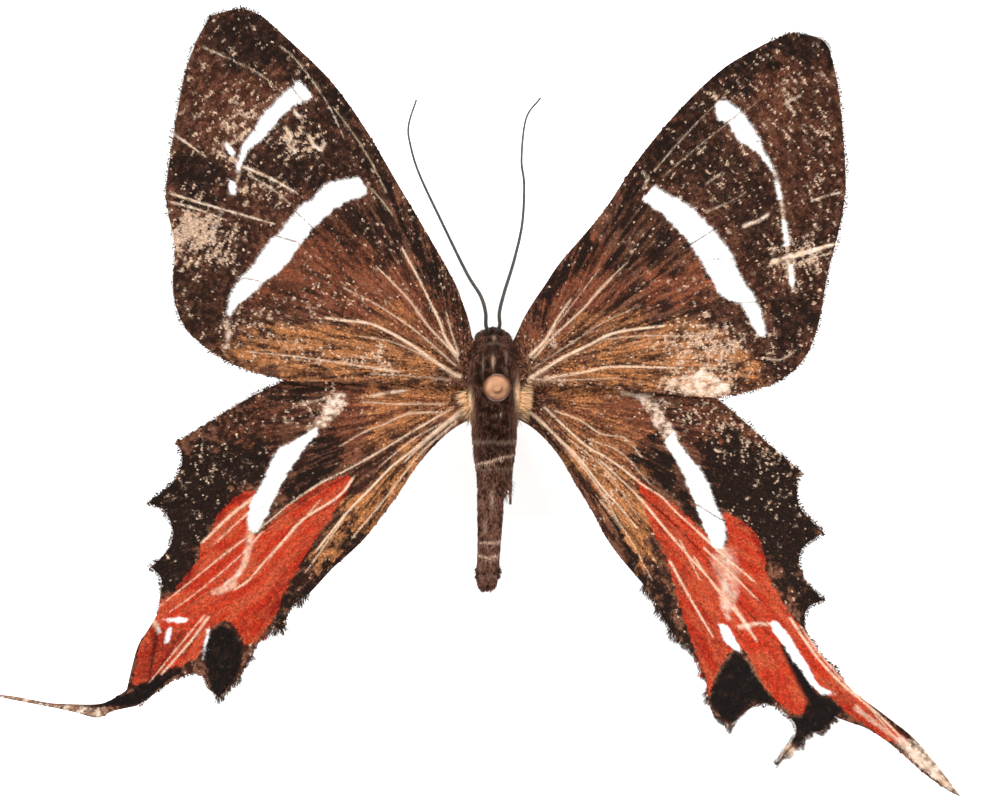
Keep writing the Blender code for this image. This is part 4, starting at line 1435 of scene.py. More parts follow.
HINDWING_RIGHT = WingPlan(
    node="hindwing_right",
    level=-0.275,
    hinge=(530, 400),
    runs=(
        (0.4, ((514, 384), (562, 372), (610, 364), (670, 366), (705, 380), (716.5, 397))),
        (0.25, ((716.5, 397), (743, 419), (770, 444), (802.5, 472))),
        (0.15, ((802.5, 472), (798, 484), (800, 506), (812, 520), (824, 533))),
        (0.15, ((824, 533), (803, 549), (801, 568), (810, 586), (825, 600))),
        (0.15, ((825, 600), (808, 609), (806, 628), (819, 651), (840, 674))),
        (0.2, ((840, 674), (853, 691), (881, 712), (910, 735), (931, 758), (960, 796))),
        (0.2, ((960, 796), (946, 789), (921, 771), (893, 746), (868, 729), (846, 721), (834, 716))),
        (0.15, ((834, 716), (829, 725), (819, 731), (810, 732), (801, 740), (790, 749), (776, 763))),
        (0.15, ((776, 763), (783, 749), (793, 737), (795, 728), (790, 719), (773, 706), (756, 706),
            (743, 715), (731, 727))),
        (0.2, ((731, 727), (712, 711), (704, 674), (689, 649), (673, 633), (657, 605), (642, 583))),
        (0.4, ((642, 583), (629, 568), (616, 552), (605, 536), (597, 520), (588, 504), (578, 488),
            (569, 472), (559, 456), (546, 440), (530, 426), (515, 418))),
        (0.4, ((515, 418), (512, 400), (514, 384))),
    ),
    veins=(
        ((520, 400), (620, 404), (690, 408), (735, 424), (786, 466)),
        ((520, 404), (580, 420), (601, 434), (650, 446), (720, 466), (796, 502)),
        ((601, 434), (641, 456), (690, 495), (717, 517), (760, 532), (818, 534)),
        ((520, 406), (585, 445), (628, 473), (675, 511), (718, 548), (766, 576), (818, 597)),
        ((604, 460), (634, 492), (680, 545), (730, 592), (780, 640), (832, 690), (857, 706), (914, 752)),
        ((520, 409), (574, 453), (604, 490), (637, 530), (668, 585), (700, 640), (728, 716)),
        ((668, 585), (710, 620), (750, 664), (782, 706)),
    ),
    white=(
        (
            (674, 430), (679, 440), (687, 452), (704, 472), (712, 488), (717, 504), (725, 520), (727, 536),
            (722, 550), (712, 546), (703, 529), (698, 516), (693, 502), (682, 474), (672, 456), (664, 442),
        ),
        (
            (768, 623), (780, 622), (796, 645), (811, 669), (820, 684), (833, 692), (822, 696), (810, 686),
            (797, 668), (784, 649), (774, 634),
        ),
        ((716, 622), (724, 622), (735, 636), (742, 652), (732, 650), (722, 638)),
    ),
    red=(
        (
            (636, 478), (665, 498), (694, 522), (708, 536), (716, 548), (724, 550), (728, 538), (726, 524),
            (721, 511), (737, 518), (755, 533), (762, 546), (765, 560), (768, 576),
            (780, 596), (789, 612), (804, 630), (819, 652), (838, 675), (856, 692), (882, 712), (898, 728),
            (910, 742), (896, 742), (884, 738), (864, 724), (848, 714),
            (834, 700), (822, 692), (812, 700), (808, 712), (796, 714), (785, 708), (775, 698), (764, 686),
            (752, 664),
            (744, 650), (736, 646), (722, 662), (713, 682), (709, 697), (703, 676), (693, 644), (685, 622),
            (678, 599),
            (666, 560), (654, 533), (643, 505),
        ),
    ),
    black=(
        (
            (736, 651), (748, 664), (758, 680), (773, 702), (756, 702), (742, 711), (730, 723), (716, 712),
            (710, 702), (714, 684), (723, 666),
        ),
        ((806, 704), (816, 696), (828, 698), (842, 711), (832, 720), (820, 731), (806, 738), (794, 744),
            (788, 718), (800, 716)),
    ),
    beige=(
        ((636, 394), (652, 394), (660, 408), (670, 424), (678, 440), (670, 444), (658, 430), (648, 412)),
        ((908, 738), (936, 758), (960, 796), (932, 776), (906, 752)),
    ),
    beige_lines=(
        Streak(((722, 548), (728, 572), (722, 596), (728, 618)), 8, 0.7),
        Streak(((724, 560), (730, 584), (728, 606)), 22, 0.5),
        Streak(((732, 604), (744, 622), (756, 640)), 4, 0.8),
        Streak(((740, 627), (754, 624), (772, 624)), 4, 0.9),
        Streak(((788, 744), (781, 754), (775, 763)), 5, 0.9),
        Streak(((856, 708), (882, 728), (908, 748)), 5, 0.6),
        Streak(((900, 740), (924, 762), (948, 786)), 9, 0.7),
        Streak(((622, 392), (636, 396), (648, 402)), 4, 0.6),
    ),
    cream=(
        Streak(((530, 412), (533, 415), (554, 434), (574, 453), (590, 472), (604, 490), (621, 508),
            (637, 528)), 2.3, 0.95),
        Streak(((532, 414), (545, 424), (562, 444)), 2.2, 0.8),
        Streak(((545, 408), (585, 445), (606, 457), (628, 473), (644, 486), (661, 496), (675, 511),
            (697, 531)), 2.1, 0.95),
        Streak(((697, 531), (722, 554), (755, 582)), 2.4, 1.0),
        Streak(((704, 548), (730, 572), (758, 600)), 2.0, 0.9),
        Streak(((600, 460), (617, 476), (634, 492), (640, 500)), 2.0, 0.8),
        Streak(((640, 498), (677, 543), (719, 590), (748, 628)), 2.2, 1.0),
        Streak(((694, 557), (714, 586), (738, 616)), 1.8, 0.8),
        Streak(((670, 561), (690, 598), (713, 637)), 2.4, 1.0),
        Streak(((680, 540), (690, 560), (700, 580)), 1.6, 0.8),
        Streak(((555, 411), (580, 420), (601, 434), (625, 438), (641, 456)), 1.8, 0.7),
        Streak(((790, 618), (816, 656), (842, 684), (880, 716), (914, 752), (944, 782)), 2.6, 0.95),
        Streak(((800, 626), (828, 664), (866, 704), (900, 744)), 1.8, 0.8),
        Streak(((806, 624), (834, 662), (880, 704), (920, 744)), 1.6, 0.7),
        Streak(((590, 440), (620, 452), (650, 484)), 1.6, 0.6),
        Streak(((600, 500), (628, 536), (652, 580)), 1.8, 0.6),
        Streak(((560, 440), (596, 484), (622, 528)), 2.0, 0.7),
        Streak(((570, 440), (606, 470), (640, 520)), 1.4, 0.6),
    ),
    cuts=(Streak(((698, 505), (717, 517), (726, 522)), 1.6, 0.8),),
    inked=(
        Streak(((528, 414), (548, 436), (574, 466), (596, 498), (618, 530)), 2.6, 0.95),
        Streak(((640, 494), (672, 522), (704, 556), (738, 600), (770, 636)), 1.6, 0.8),
        Streak(((722, 556), (752, 592), (784, 622)), 1.5, 0.5),
        Streak(((872, 708), (892, 724), (910, 740), (930, 764)), 6.0, 0.9),
        Streak(((817, 704), (806, 686), (795, 666), (785, 646)), 15.0, 1.0),
    ),
    shade=(
        Zone((
            (712, 500), (700, 462), (716, 440), (764, 446), (803, 473), (802, 506), (828, 533), (804, 568),
            (829, 600),
            (809, 628), (796, 606), (782, 580), (766, 552), (752, 530), (736, 514),
        ), 1.7, 0.3),
        Zone(((668, 366), (708, 380), (740, 420), (780, 452), (720, 452), (690, 446), (676, 414)), 0.35),
        Zone(((636, 480), (648, 510), (668, 556), (688, 612), (706, 658), (722, 660), (704, 616),
            (684, 560), (660, 510)), 0.5),
        Zone(((836, 684), (856, 700), (884, 722), (880, 734), (850, 714), (826, 694)), 0.5),
        Zone(((656, 436), (680, 474), (698, 510), (697, 526), (676, 506), (650, 480), (638, 456)), 1.0),
        Zone(((606, 520), (640, 560), (668, 608), (694, 652), (700, 678), (684, 662), (656, 620),
            (626, 568)), 1.7, 0.3),
    ),
    rust=(
        Zone(((540, 394), (640, 396), (664, 440), (640, 470), (600, 440), (560, 415)), 0.75, 0.5),
        Zone(((684, 396), (740, 424), (764, 450), (720, 462), (690, 440)), 0.8, 0.5),
    ),
    gold=(
        Zone(((540, 412), (600, 440), (636, 466), (640, 500), (660, 560), (640, 570), (600, 510),
            (566, 452)), 1.0, 0.4),
        Zone(((560, 408), (620, 420), (650, 450), (620, 452), (580, 430)), 0.5, 0.3),
        Zone(((538, 386), (590, 388), (640, 392), (630, 404), (560, 404)), 0.8, 0.3),
    ),
    pale=(
        Blot(652, 398, 14, 8, 1.2), Blot(704, 424, 36, 24, 0.8), Blot(762, 456, 34, 22, 0.5),
        Blot(780, 500, 26, 30, 0.35), Blot(618, 488, 14, 30, 0.9), Blot(590, 455, 16, 24, 0.8),
        Blot(606, 404, 60, 8, 0.35), Blot(922, 756, 26, 18, 1.0), Blot(740, 440, 30, 26, 0.3),
    ),
    flecked=-0.12,
    seed=53,
    fringe_rows=(1, 2, 3, 4, 8),
    hair_rows=(7, 9),
)


def most(parts: tuple[Zone | Streak, ...], places: np.ndarray) -> np.ndarray:
    """The strongest share of several soft parts at places."""
    return np.max([np.zeros(len(places)), *(part.over(places) for part in parts)], axis=0)


@dataclass
class Wing:
    """One wing: its membrane with raised veins, its two coats of scales and its fringe."""

    plan: WingPlan
    finish: bpy.types.Material
    thickness: float = 0.05
    fill_pitch: float = 0.2
    row_share: float = 0.866
    vein_half_width: float = 0.13
    vein_height: float = 0.07
    pleat: float = 0.035
    pleat_reach: float = 0.9
    fringe_depth: float = 0.05
    edge: float = 0.03
    scale_pitch: float = 0.0775
    scale_length: float = 0.157
    scale_width: float = 0.082
    hair_root: float = 0.16
    run_lines: list[np.ndarray] = field(init=False)
    outline: np.ndarray = field(init=False)
    veins: list[np.ndarray] = field(init=False)
    hinge: np.ndarray = field(init=False)

    def __post_init__(self) -> None:
        """Draws the outline and the veins from the plan."""
        self.run_lines = [spline(on_grid(stations), pitch) for pitch, stations in self.plan.runs]
        self.outline = np.vstack([line[:-1] for line in self.run_lines])
        self.pull_in()
        self.veins = [spline(on_grid(v), 0.3) for v in self.plan.veins]
        self.hinge = on_grid([self.plan.hinge])[0]

    def pull_in(self) -> None:
        """Draws the fringed margins in by the fringe's own depth."""
        first = 0
        area = np.sum(self.outline[:, 0] * np.roll(self.outline[:, 1], -1))
        area -= np.sum(self.outline[:, 1] * np.roll(self.outline[:, 0], -1))
        whole = self.outline.copy()
        along = np.roll(whole, -1, axis=0) - np.roll(whole, 1, axis=0)
        inward = unit(np.column_stack((-along[:, 1], along[:, 0])) * math.copysign(1, area))
        for row, line in enumerate(self.run_lines):
            last = first + len(line) - 1
            drawn = self.fringe_depth if row in self.plan.fringe_rows else 0.0
            self.outline[first:last] += inward[first:last] * drawn
            self.run_lines[row] = np.vstack((self.outline[first:last], self.outline[last % len(whole)]))
            first = last

    def vein_gap(self, places: np.ndarray) -> np.ndarray:
        """Measures each place's distance to the nearest vein.

        Args:
            places: (x, y) places.

        Returns:
            The distances, up to the reach of a pleat.
        """
        gap = np.full(len(places), self.pleat_reach)
        for line in self.veins:
            close = close_to(places, line, self.pleat_reach)
            gap[close] = np.minimum(gap[close], to_line(places[close], line)[0])
        return gap

    def height(self, places: np.ndarray, face: Face, gap: np.ndarray | None = None) -> np.ndarray:
        """How high a face of the membrane lies.

        Args:
            places: (x, y) places.
            face: The face.
            gap: Each place's distance to the nearest vein, if it is known.

        Returns:
            Heights in millimetres.
        """
        gap = self.vein_gap(places) if gap is None else gap
        middle = WING_PLANE + self.plan.level + wing_height(places[:, 0], places[:, 1])
        middle = middle - self.pleat * smooth(gap, 0.0, self.pleat_reach)
        ridge = self.vein_height * np.clip(1 - gap / self.vein_half_width, 0, 1) ** 0.8
        return middle + face.value * (self.thickness / 2 + ridge)

    def area(self, places: np.ndarray, shapes: tuple, inset: float) -> np.ndarray:
        """The share of a set of closed marks at places, with a slightly uneven edge.

        Args:
            places: (x, y) places.
            shapes: The marks' outlines, in grid stations.
            inset: How far within its outline a mark's edge lies.

        Returns:
            The shares.
        """
        seed = self.plan.seed
        rough = (grain(places, 0.12, seed) - 0.5) * 0.1 + (grain(places, 0.3, seed + 1) - 0.5) * 0.08
        found = np.zeros(len(places))
        for shape in shapes:
            ring = spline(on_grid((*shape, shape[0])), 0.3)[:-1]
            depth = depth_in(places, ring, 0.3) + rough - inset
            found = np.maximum(found, smooth(depth, -self.edge, self.edge))
        return found

    def lines(self, places: np.ndarray) -> tuple[np.ndarray, np.ndarray, np.ndarray]:
        """Works out the finely drawn marks: white bands, pale veins and dark lines.

        Args:
            places: (x, y) places.

        Returns:
            The shares of white, cream and black.
        """
        plan = self.plan
        seed = plan.seed
        white = self.area(places, plan.white, 0.08) * (1 - most(plan.cuts, places))
        broken = 0.3 + 0.7 * smooth(grain(places, 0.11, seed + 7), 0.2, 0.45)
        patchy = grain(places, 0.17, seed + 13) * 0.6 + grain(places, 0.07, seed + 14) * 0.4
        patch = self.area(places, plan.beige, 0.0) * (0.12 + 0.66 * smooth(patchy, 0.38, 0.62))
        beige = np.maximum(patch, most(plan.beige_lines, places) * broken * 0.9)
        white = np.maximum(white, beige * smooth(patchy, 0.5, 0.7) * 0.5)
        vein = most(plan.cream, places) * (0.7 + 0.3 * smooth(grain(places, 0.13, seed + 10), 0.2, 0.5))
        black = self.area(places, plan.black, 0.0) * (0.9 + 0.1 * smooth(patchy, 0.3, 0.5))
        return white, np.maximum(vein, beige), np.maximum(black, most(plan.inked, places))

    def grounds(self, places: np.ndarray) -> dict[str, tuple[np.ndarray, ...]]:
        """Works out the ground's colours and the red area.

        Args:
            places: (x, y) places.

        Returns:
            The shares "red", of "pale" and "worn" scales, and of "gold", "shade" and "rust".
        """
        plan = self.plan
        seed = plan.seed
        away = places - self.hinge
        polar = np.column_stack((np.linalg.norm(away, axis=1), np.arctan2(away[:, 1], away[:, 0]) * 9.0))
        shift = np.column_stack((grain(places, 0.7, seed + 20), grain(places, 0.7, seed + 21))) - 0.5
        fine_shift = np.column_stack((grain(places, 0.2, seed + 22), grain(places, 0.2, seed + 23))) - 0.5
        drifted = places + shift * 1.3 + fine_shift * 0.7
        red = self.area(places, plan.red, 0.0)
        near = 1 - smooth(polar[:, 0], 7.0, 13.0)
        long, short = grain(polar * (0.16, 1.1), 0.2, seed + 5), grain(polar * (0.3, 2.2), 0.2, seed + 6)
        streaks = smooth(long * 0.55 + short * 0.45, 0.26, 0.74)
        furrows = smooth(grain(polar * (0.12, 1.3), 0.2, seed + 12), 0.6, 0.85)
        flecks = grain(polar * (0.8, 0.8), 0.1, seed + 8) * 0.7 + grain(places, 0.35, seed + 9) * 0.3
        flecks = smooth(flecks, 0.26, 0.74)
        dashes = grain(polar * (1.0, 0.55), 0.1, seed + 2) * 0.6 + grain(places, 0.08, seed + 3) * 0.4
        blots = np.sum([blot.over(drifted) for blot in plan.pale], axis=0)
        amount = np.clip(plan.flecked - 0.12 * near + blots, -0.3, 1.5)
        edge = 0.77 - 0.3 * amount
        pale = smooth(dashes, edge - 0.05, edge + 0.12)
        texture = streaks * near + flecks * (1 - near)
        worn = smooth(texture, 0.2, 0.9) * (1 - plan.dim * (1 - near))
        shade = most(plan.shade, drifted) * (1.35 - 0.75 * worn)
        shade = np.clip(shade + 0.55 * near * furrows * (1 - red), 0, 1)
        rust = np.clip(most(plan.rust, drifted) * (0.2 + 0.5 * streaks + 0.6 * flecks), 0, 1)
        gold = np.clip(most(plan.gold, drifted) * (-0.05 + 0.95 * streaks + 0.5 * flecks), 0, 1)
        worn = np.where(red > 0.5, streaks, worn)
        return {"red": red, "pale": pale, "worn": worn, "gold": gold, "shade": shade, "rust": rust}

    def paint(self, piece: bpy.types.Object, points: np.ndarray, fields: dict[str, np.ndarray]) -> None:
        """Writes the masks of a piece's points.

        Args:
            piece: The piece.
            points: Its points, of which x and y are read.
            fields: The ground's shares at each point.
        """
        white, vein, black = self.lines(points[:, :2])
        set_colours(piece, "marks", (white, fields["red"], black))
        set_colours(piece, "tints", (fields["pale"], vein, fields["worn"]))
        set_colours(piece, "grounds", (fields["gold"], fields["shade"], fields["rust"]))

    def skin(self) -> bpy.types.Object:
        """Builds the membrane, triangulated alike above and below.

        Returns:
            The skin.
        """
        low, high = self.outline.min(axis=0), self.outline.max(axis=0)
        pitch = self.fill_pitch
        columns = np.arange(low[0], high[0], pitch)
        rows = np.arange(low[1], high[1], pitch * self.row_share)
        grid = np.array([(x + (j % 2) * pitch / 2, y) for j, y in enumerate(rows) for x in columns])
        rim, _ = to_line(grid, closed(self.outline))
        grid = grid[within(grid, self.outline) & (rim > pitch * 0.5)]
        grid = grid[self.vein_gap(grid) > self.vein_half_width + pitch * 0.3]
        places = [*self.outline]
        edges: list[tuple[int, int]] = []
        for line in self.veins:
            along = np.gradient(line, axis=0)
            aside = unit(np.column_stack((-along[:, 1], along[:, 0])))
            for shift in (self.vein_half_width, 0.0, -self.vein_half_width):
                strand = line + aside * shift
                near, _ = to_line(strand, closed(self.outline))
                strand = strand[within(strand, self.outline) & (near > 0.05)]
                first = len(places)
                places.extend(strand)
                edges.extend((i, i + 1) for i in range(first, len(places) - 1))
        places.extend(grid)
        flat, _, triangles, _, _, _ = geometry.delaunay_2d_cdt(
            [Vector(p) for p in places], edges, [list(range(len(self.outline)))], 1, 1e-4
        )
        plan = np.array([tuple(p) for p in flat])
        turns = np.array([tuple(t) for t in triangles])
        gap = self.vein_gap(plan)
        top = np.column_stack((plan, self.height(plan, Face.TOP, gap)))
        under = np.column_stack((plan, self.height(plan, Face.UNDER, gap)))
        count = len(plan)
        sides = np.vstack((turns[:, (0, 1)], turns[:, (1, 2)], turns[:, (2, 0)]))
        keys = np.sort(sides, axis=1)
        _, where, times = np.unique(keys, axis=0, return_index=True, return_counts=True)
        rims = sides[where[times == 1]]
        walls = np.column_stack((rims[:, 1], rims[:, 0], rims[:, 0] + count, rims[:, 1] + count))
        faces = [*turns.tolist(), *(turns[:, ::-1] + count).tolist(), *walls.tolist()]
        piece = mesh_piece(f"{self.plan.node}_skin", np.vstack((top, under)), faces, self.finish)
        both = np.vstack((plan, plan))
        self.paint(piece, both, self.grounds(both))
        set_values(piece, "tone", np.full(len(both), 0.35))
        shade_smooth(piece)
        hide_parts(self.plan.node)
        return piece

    def coat(self, face: Face) -> bpy.types.Object:
        """Lays the scales of one face in overlapping rows.

        Args:
            face: The face.

        Returns:
            The coat.
        """
        rng = np.random.default_rng(self.plan.seed + (100 if face is Face.TOP else 200))
        pitch = self.scale_pitch * (1.0 if face is Face.TOP else 2.0)
        size = 1.0 if face is Face.TOP else 1.8
        low, high = self.outline.min(axis=0), self.outline.max(axis=0)
        columns = np.arange(low[0], high[0], pitch)
        rows = np.arange(low[1], high[1], pitch)
        grid = np.array([(x + (j % 2) * pitch / 2, y) for j, y in enumerate(rows) for x in columns])
        grid = grid + rng.uniform(-0.4, 0.4, grid.shape) * pitch
        grid = grid[within(grid, self.outline)]
        outward = unit(grid - self.hinge)
        turn = rng.normal(0, 0.22, len(grid))
        ahead = np.column_stack((
            outward[:, 0] * np.cos(turn) - outward[:, 1] * np.sin(turn),
            outward[:, 0] * np.sin(turn) + outward[:, 1] * np.cos(turn),
        ))
        lengths = self.scale_length * size * rng.uniform(0.75, 1.25, len(grid))
        tips = grid + ahead * lengths[:, None]
        kept = within(tips, self.outline)
        for row in self.plan.fringe_rows:
            near, _ = to_line(tips[~kept], self.run_lines[row])
            kept[~kept] = near < self.fringe_depth
        grid, ahead, lengths = grid[kept], ahead[kept], lengths[kept]
        count = len(grid)
        here = self.height(grid, face)
        there = self.height(grid + ahead * lengths[:, None], face)
        roots = np.column_stack((grid, here + face.value * 0.005))
        slope = (there - here) / lengths
        lie = Lie(
            roots=roots,
            ahead=np.column_stack((ahead, slope)),
            normals=np.column_stack((-ahead * slope[:, None], np.ones(count))) * face.value,
            lengths=lengths,
            widths=self.scale_width * size * rng.uniform(0.8, 1.25, count),
            lifts=rng.uniform(0.018, 0.05, count) * size,
            patches=(grid - low) / np.max(high - low) * 0.98 + 0.01,
        )
        points, faces, maps = lie.scales(0.012)
        each = len(points) // count
        piece = mesh_piece(f"{self.plan.node}_coat_{face.name.lower()}", points, faces, self.finish)
        fields = self.grounds(grid + ahead * lengths[:, None] * 0.5)
        for name, share in fields.items():
            if name == "red":
                share = (share > rng.uniform(0.2, 0.8, count)).astype(float)
            else:
                share = np.clip(share + rng.normal(0, 0.12, count) * (share > 0.02), 0, 1)
            fields[name] = np.repeat(share, each)
        self.paint(piece, points, fields)
        return finish_coat(piece, rng.uniform(0, 1, count), maps)

    def fringe(self) -> bpy.types.Object:
        """Sets the hair scales along the outer margin, and longer hair where the plan asks for it.

        Returns:
            The fringe.
        """
        rng = np.random.default_rng(self.plan.seed + 300)
        roots, ahead, lengths, widths = [], [], [], []
        for row, line in enumerate(self.run_lines):
            hairy = row in self.plan.hair_rows
            if not hairy and row not in self.plan.fringe_rows:
                continue
            steps = np.linspace(0, 1, 44 if hairy else 8, endpoint=False)
            fine = np.vstack([line[:-1] + (line[1:] - line[:-1]) * step for step in steps])
            out = unit(fine - self.hinge)
            nearest = np.argmin(np.linalg.norm(fine[:, None] - line[None], axis=2), axis=1)
            along = np.gradient(line, axis=0)[nearest]
            away = unit(np.column_stack((along[:, 1], -along[:, 0])))
            away *= np.where(within(fine + away * 0.05, self.outline), -1, 1)[:, None]
            roots.append(fine - away * (self.hair_root if hairy else self.edge))
            ahead.append(away + out * (0.8 if hairy else 0.35) + rng.normal(0, 0.3, fine.shape))
            clumped = 0.35 + 0.9 * grain(fine, 0.35, self.plan.seed + 30)
            longest = 0.75 if hairy else 0.3
            lengths.append(rng.uniform(0.3, 1.0, len(fine)) * clumped * longest)
            widths.append(rng.uniform(0.025, 0.05, len(fine)) * (0.55 if hairy else 1.0))
        roots = np.vstack(roots)
        ahead = unit(np.vstack(ahead))
        count = len(roots)
        low, high = self.outline.min(axis=0), self.outline.max(axis=0)
        level = (self.height(roots, Face.TOP) + self.height(roots, Face.UNDER)) / 2
        lie = Lie(
            roots=np.column_stack((roots, level)),
            ahead=np.column_stack((ahead, rng.normal(0, 0.1, count))),
            normals=np.tile((0.0, 0.0, 1.0), (count, 1)),
            lengths=np.concatenate(lengths),
            widths=np.concatenate(widths),
            lifts=rng.uniform(-0.03, 0.05, count),
            patches=(roots - low) / np.max(high - low) * 0.98 + 0.01,
        )
        points, faces, maps = lie.scales(0.02)
        piece = mesh_piece(f"{self.plan.node}_fringe", points, faces, self.finish)
        inner = roots - ahead * 0.12
        red = self.area(inner, self.plan.red, 0.0)
        _, vein, _ = self.lines(inner)
        dark = (rng.uniform(0, 1, count) < 0.7).astype(float) * (1 - vein)
        pale = (rng.uniform(0, 1, count) < 0.15).astype(float)
        nothing = np.zeros(count)
        for name, masks in (
            ("marks", (nothing, red * (1 - dark), dark * 0.9)),
            ("tints", (pale, vein, nothing + 0.4)),
            ("grounds", (nothing, nothing + 0.3, nothing)),
        ):
            set_colours(piece, name, tuple(np.repeat(c, len(points) // count) for c in masks))
        return finish_coat(piece, rng.uniform(0, 1, count), maps)

    def build(self) -> list[bpy.types.Object]:
        """Builds the wing's pieces."""
        return [self.skin(), self.coat(Face.TOP), self.coat(Face.UNDER), self.fringe()]


# Body


@dataclass(frozen=True)
class BodyRing:
    """One cross section of the body: where it is, how wide, and how high above and below its middle."""

    y: float
    half_width: float
    above: float
    below: float
    x: float
    z: float


@dataclass(frozen=True)
class Tuft:
    """A tuft of hair on the body's side: where its roots are, where it points and its colour."""

    side: Side
    front: float
    rear: float
    low: float
    high: float
    out: float
    back: float
    up: float
    length: float
    count: int
    tan: float
    light: float


@dataclass
class Trunk:
    """Head, thorax and abdomen under one skin, with their coat of hair and scales."""

    skin_finish: bpy.types.Material
    coat_finish: bpy.types.Material
    sides: int = 44
    pitch: float = 0.06
    rings: tuple[BodyRing, ...] = (
        BodyRing(3.06, 0.10, 0.10, 0.12, -0.18, -0.12),
        BodyRing(3.00, 0.36, 0.36, 0.38, -0.18, -0.10),
        BodyRing(2.85, 0.56, 0.52, 0.54, -0.18, -0.07),
        BodyRing(2.60, 0.72, 0.60, 0.62, -0.18, -0.05),
        BodyRing(2.30, 0.84, 0.66, 0.72, -0.18, -0.03),
        BodyRing(2.05, 1.00, 0.76, 0.86, -0.18, 0.00),
        BodyRing(1.70, 1.13, 0.90, 1.02, -0.18, 0.00),
        BodyRing(0.95, 1.25, 1.04, 1.22, -0.18, 0.00),
        BodyRing(0.20, 1.27, 1.08, 1.25, -0.17, 0.00),
        BodyRing(-0.80, 1.15, 1.02, 1.22, -0.14, 0.00),
        BodyRing(-1.60, 1.04, 0.96, 1.15, -0.13, 0.00),
        BodyRing(-2.30, 1.00, 0.88, 1.02, -0.13, -0.02),
        BodyRing(-2.80, 0.97, 0.82, 0.92, -0.13, -0.08),
        BodyRing(-3.20, 0.99, 0.83, 0.90, -0.14, -0.10),
        BodyRing(-3.70, 0.92, 0.82, 0.86, -0.15, -0.12),
        BodyRing(-4.10, 0.80, 0.76, 0.80, -0.19, -0.14),
        BodyRing(-5.00, 0.62, 0.58, 0.60, -0.32, -0.20),
        BodyRing(-6.20, 0.60, 0.56, 0.58, -0.34, -0.28),
        BodyRing(-7.40, 0.54, 0.51, 0.52, -0.38, -0.38),
        BodyRing(-8.40, 0.52, 0.49, 0.50, -0.43, -0.46),
        BodyRing(-9.20, 0.51, 0.47, 0.48, -0.48, -0.54),
        BodyRing(-9.80, 0.38, 0.34, 0.35, -0.51, -0.61),
        BodyRing(-10.04, 0.12, 0.11, 0.11, -0.53, -0.64),
    )
    segment_rows: tuple[float, ...] = (443, 461, 486, 512, 543, 559, 577)
    ring_marks: tuple[tuple[float, float, float], ...] = (
        (442.5, 1.8, 0.3), (543.5, 1.0, 0.85), (470, 1.2, 0.2), (577, 1.0, 0.2),
    )
    spot_marks: tuple[tuple[float, float, float, float, float], ...] = (
        (493, 362, 1.4, 6, 0.8), (494, 338, 1.6, 2.5, 0.6), (500.6, 415, 1.3, 1.6, 1.0),
        (496, 416, 1.2, 1.4, 0.6), (506, 360, 1.0, 9, 0.3), (483, 366, 1.0, 9, 0.3),
        (485, 528, 2.0, 6, 0.4), (492, 500, 2.0, 9, 0.4),
    )
    unwrap_from: float = 10.1
    unwrap_span: float = 13.3
    tuft_plan: tuple[Tuft, ...] = (
        Tuft(Side.LEFT, -0.1, -1.25, -10, 10, 1.0, 0.3, 0.5, 0.9, 850, 1.0, 0.5),
        Tuft(Side.RIGHT, 0.65, -1.35, -10, 12, 1.0, 0.25, 0.5, 0.9, 1100, 1.0, 0.5),
        Tuft(Side.LEFT, 2.6, 2.1, 5, 70, 1.0, 0.6, 0.3, 0.4, 420, 0.0, 0.8),
        Tuft(Side.RIGHT, 2.6, 2.1, 5, 70, 1.0, 0.6, 0.3, 0.4, 420, 0.0, 0.8),
        Tuft(Side.LEFT, 2.35, 1.5, 0, 50, 1.0, 0.3, 0.2, 0.42, 420, 0.0, 0.3),
        Tuft(Side.RIGHT, 2.35, 1.5, 0, 50, 1.0, 0.3, 0.2, 0.42, 420, 0.0, 0.3),
        Tuft(Side.RIGHT, -4.3, -5.1, -10, 35, 0.45, 1.0, 0.05, 0.9, 90, 0.0, 1.0),
        Tuft(Side.LEFT, -9.0, -9.45, -30, 50, 0.8, 0.8, 0.1, 0.34, 130, 0.0, 0.1),
        Tuft(Side.RIGHT, -8.9, -9.5, -30, 50, 1.0, 0.6, 0.1, 0.34, 130, 0.0, 0.1),
    )

    def section(self, y: np.ndarray) -> tuple[np.ndarray, ...]:
        """The body's sizes at places along it.

        Args:
            y: Places along the body.

        Returns:
            Half width, above, below, middle x and middle z.
        """
        table = np.array([(r.y, r.half_width, r.above, r.below, r.x, r.z) for r in self.rings])[::-1]
        dense = spline(table, 0.02)
        dense = dense[np.argsort(dense[:, 0])]
        return tuple(np.interp(y, dense[:, 0], dense[:, i]) for i in range(1, 6))

    def surface(self, y: np.ndarray, angle: np.ndarray, proud: float = 0.0) -> np.ndarray:
        """Places on the body's skin.

        Args:
            y: How far along.
            angle: Turn about the body, 0 at its right side and a quarter turn on its back.
            proud: How far off the skin.

        Returns:
            The places.
        """
        half, above, below, x, z = self.section(y)
        power = np.interp(y, (-10, -3, -2, 2, 3), (2.1, 2.1, 2.5, 2.4, 2.1))
        c, s = np.cos(angle), np.sin(angle)
        size = (np.abs(c) ** power + np.abs(s) ** power) ** (-1 / power)
        groove = np.zeros(len(y))
        for row in self.segment_rows:
            groove += 0.03 * np.exp(-(((y - (PIN_ROW - row) * GRID_MM) / 0.09) ** 2))
        reach = 1 - groove
        return np.column_stack((
            x + (half * reach + proud) * c * size,
            y,
            WING_PLANE + z + (np.where(s > 0, above, below) * reach + proud) * s * size,
        ))

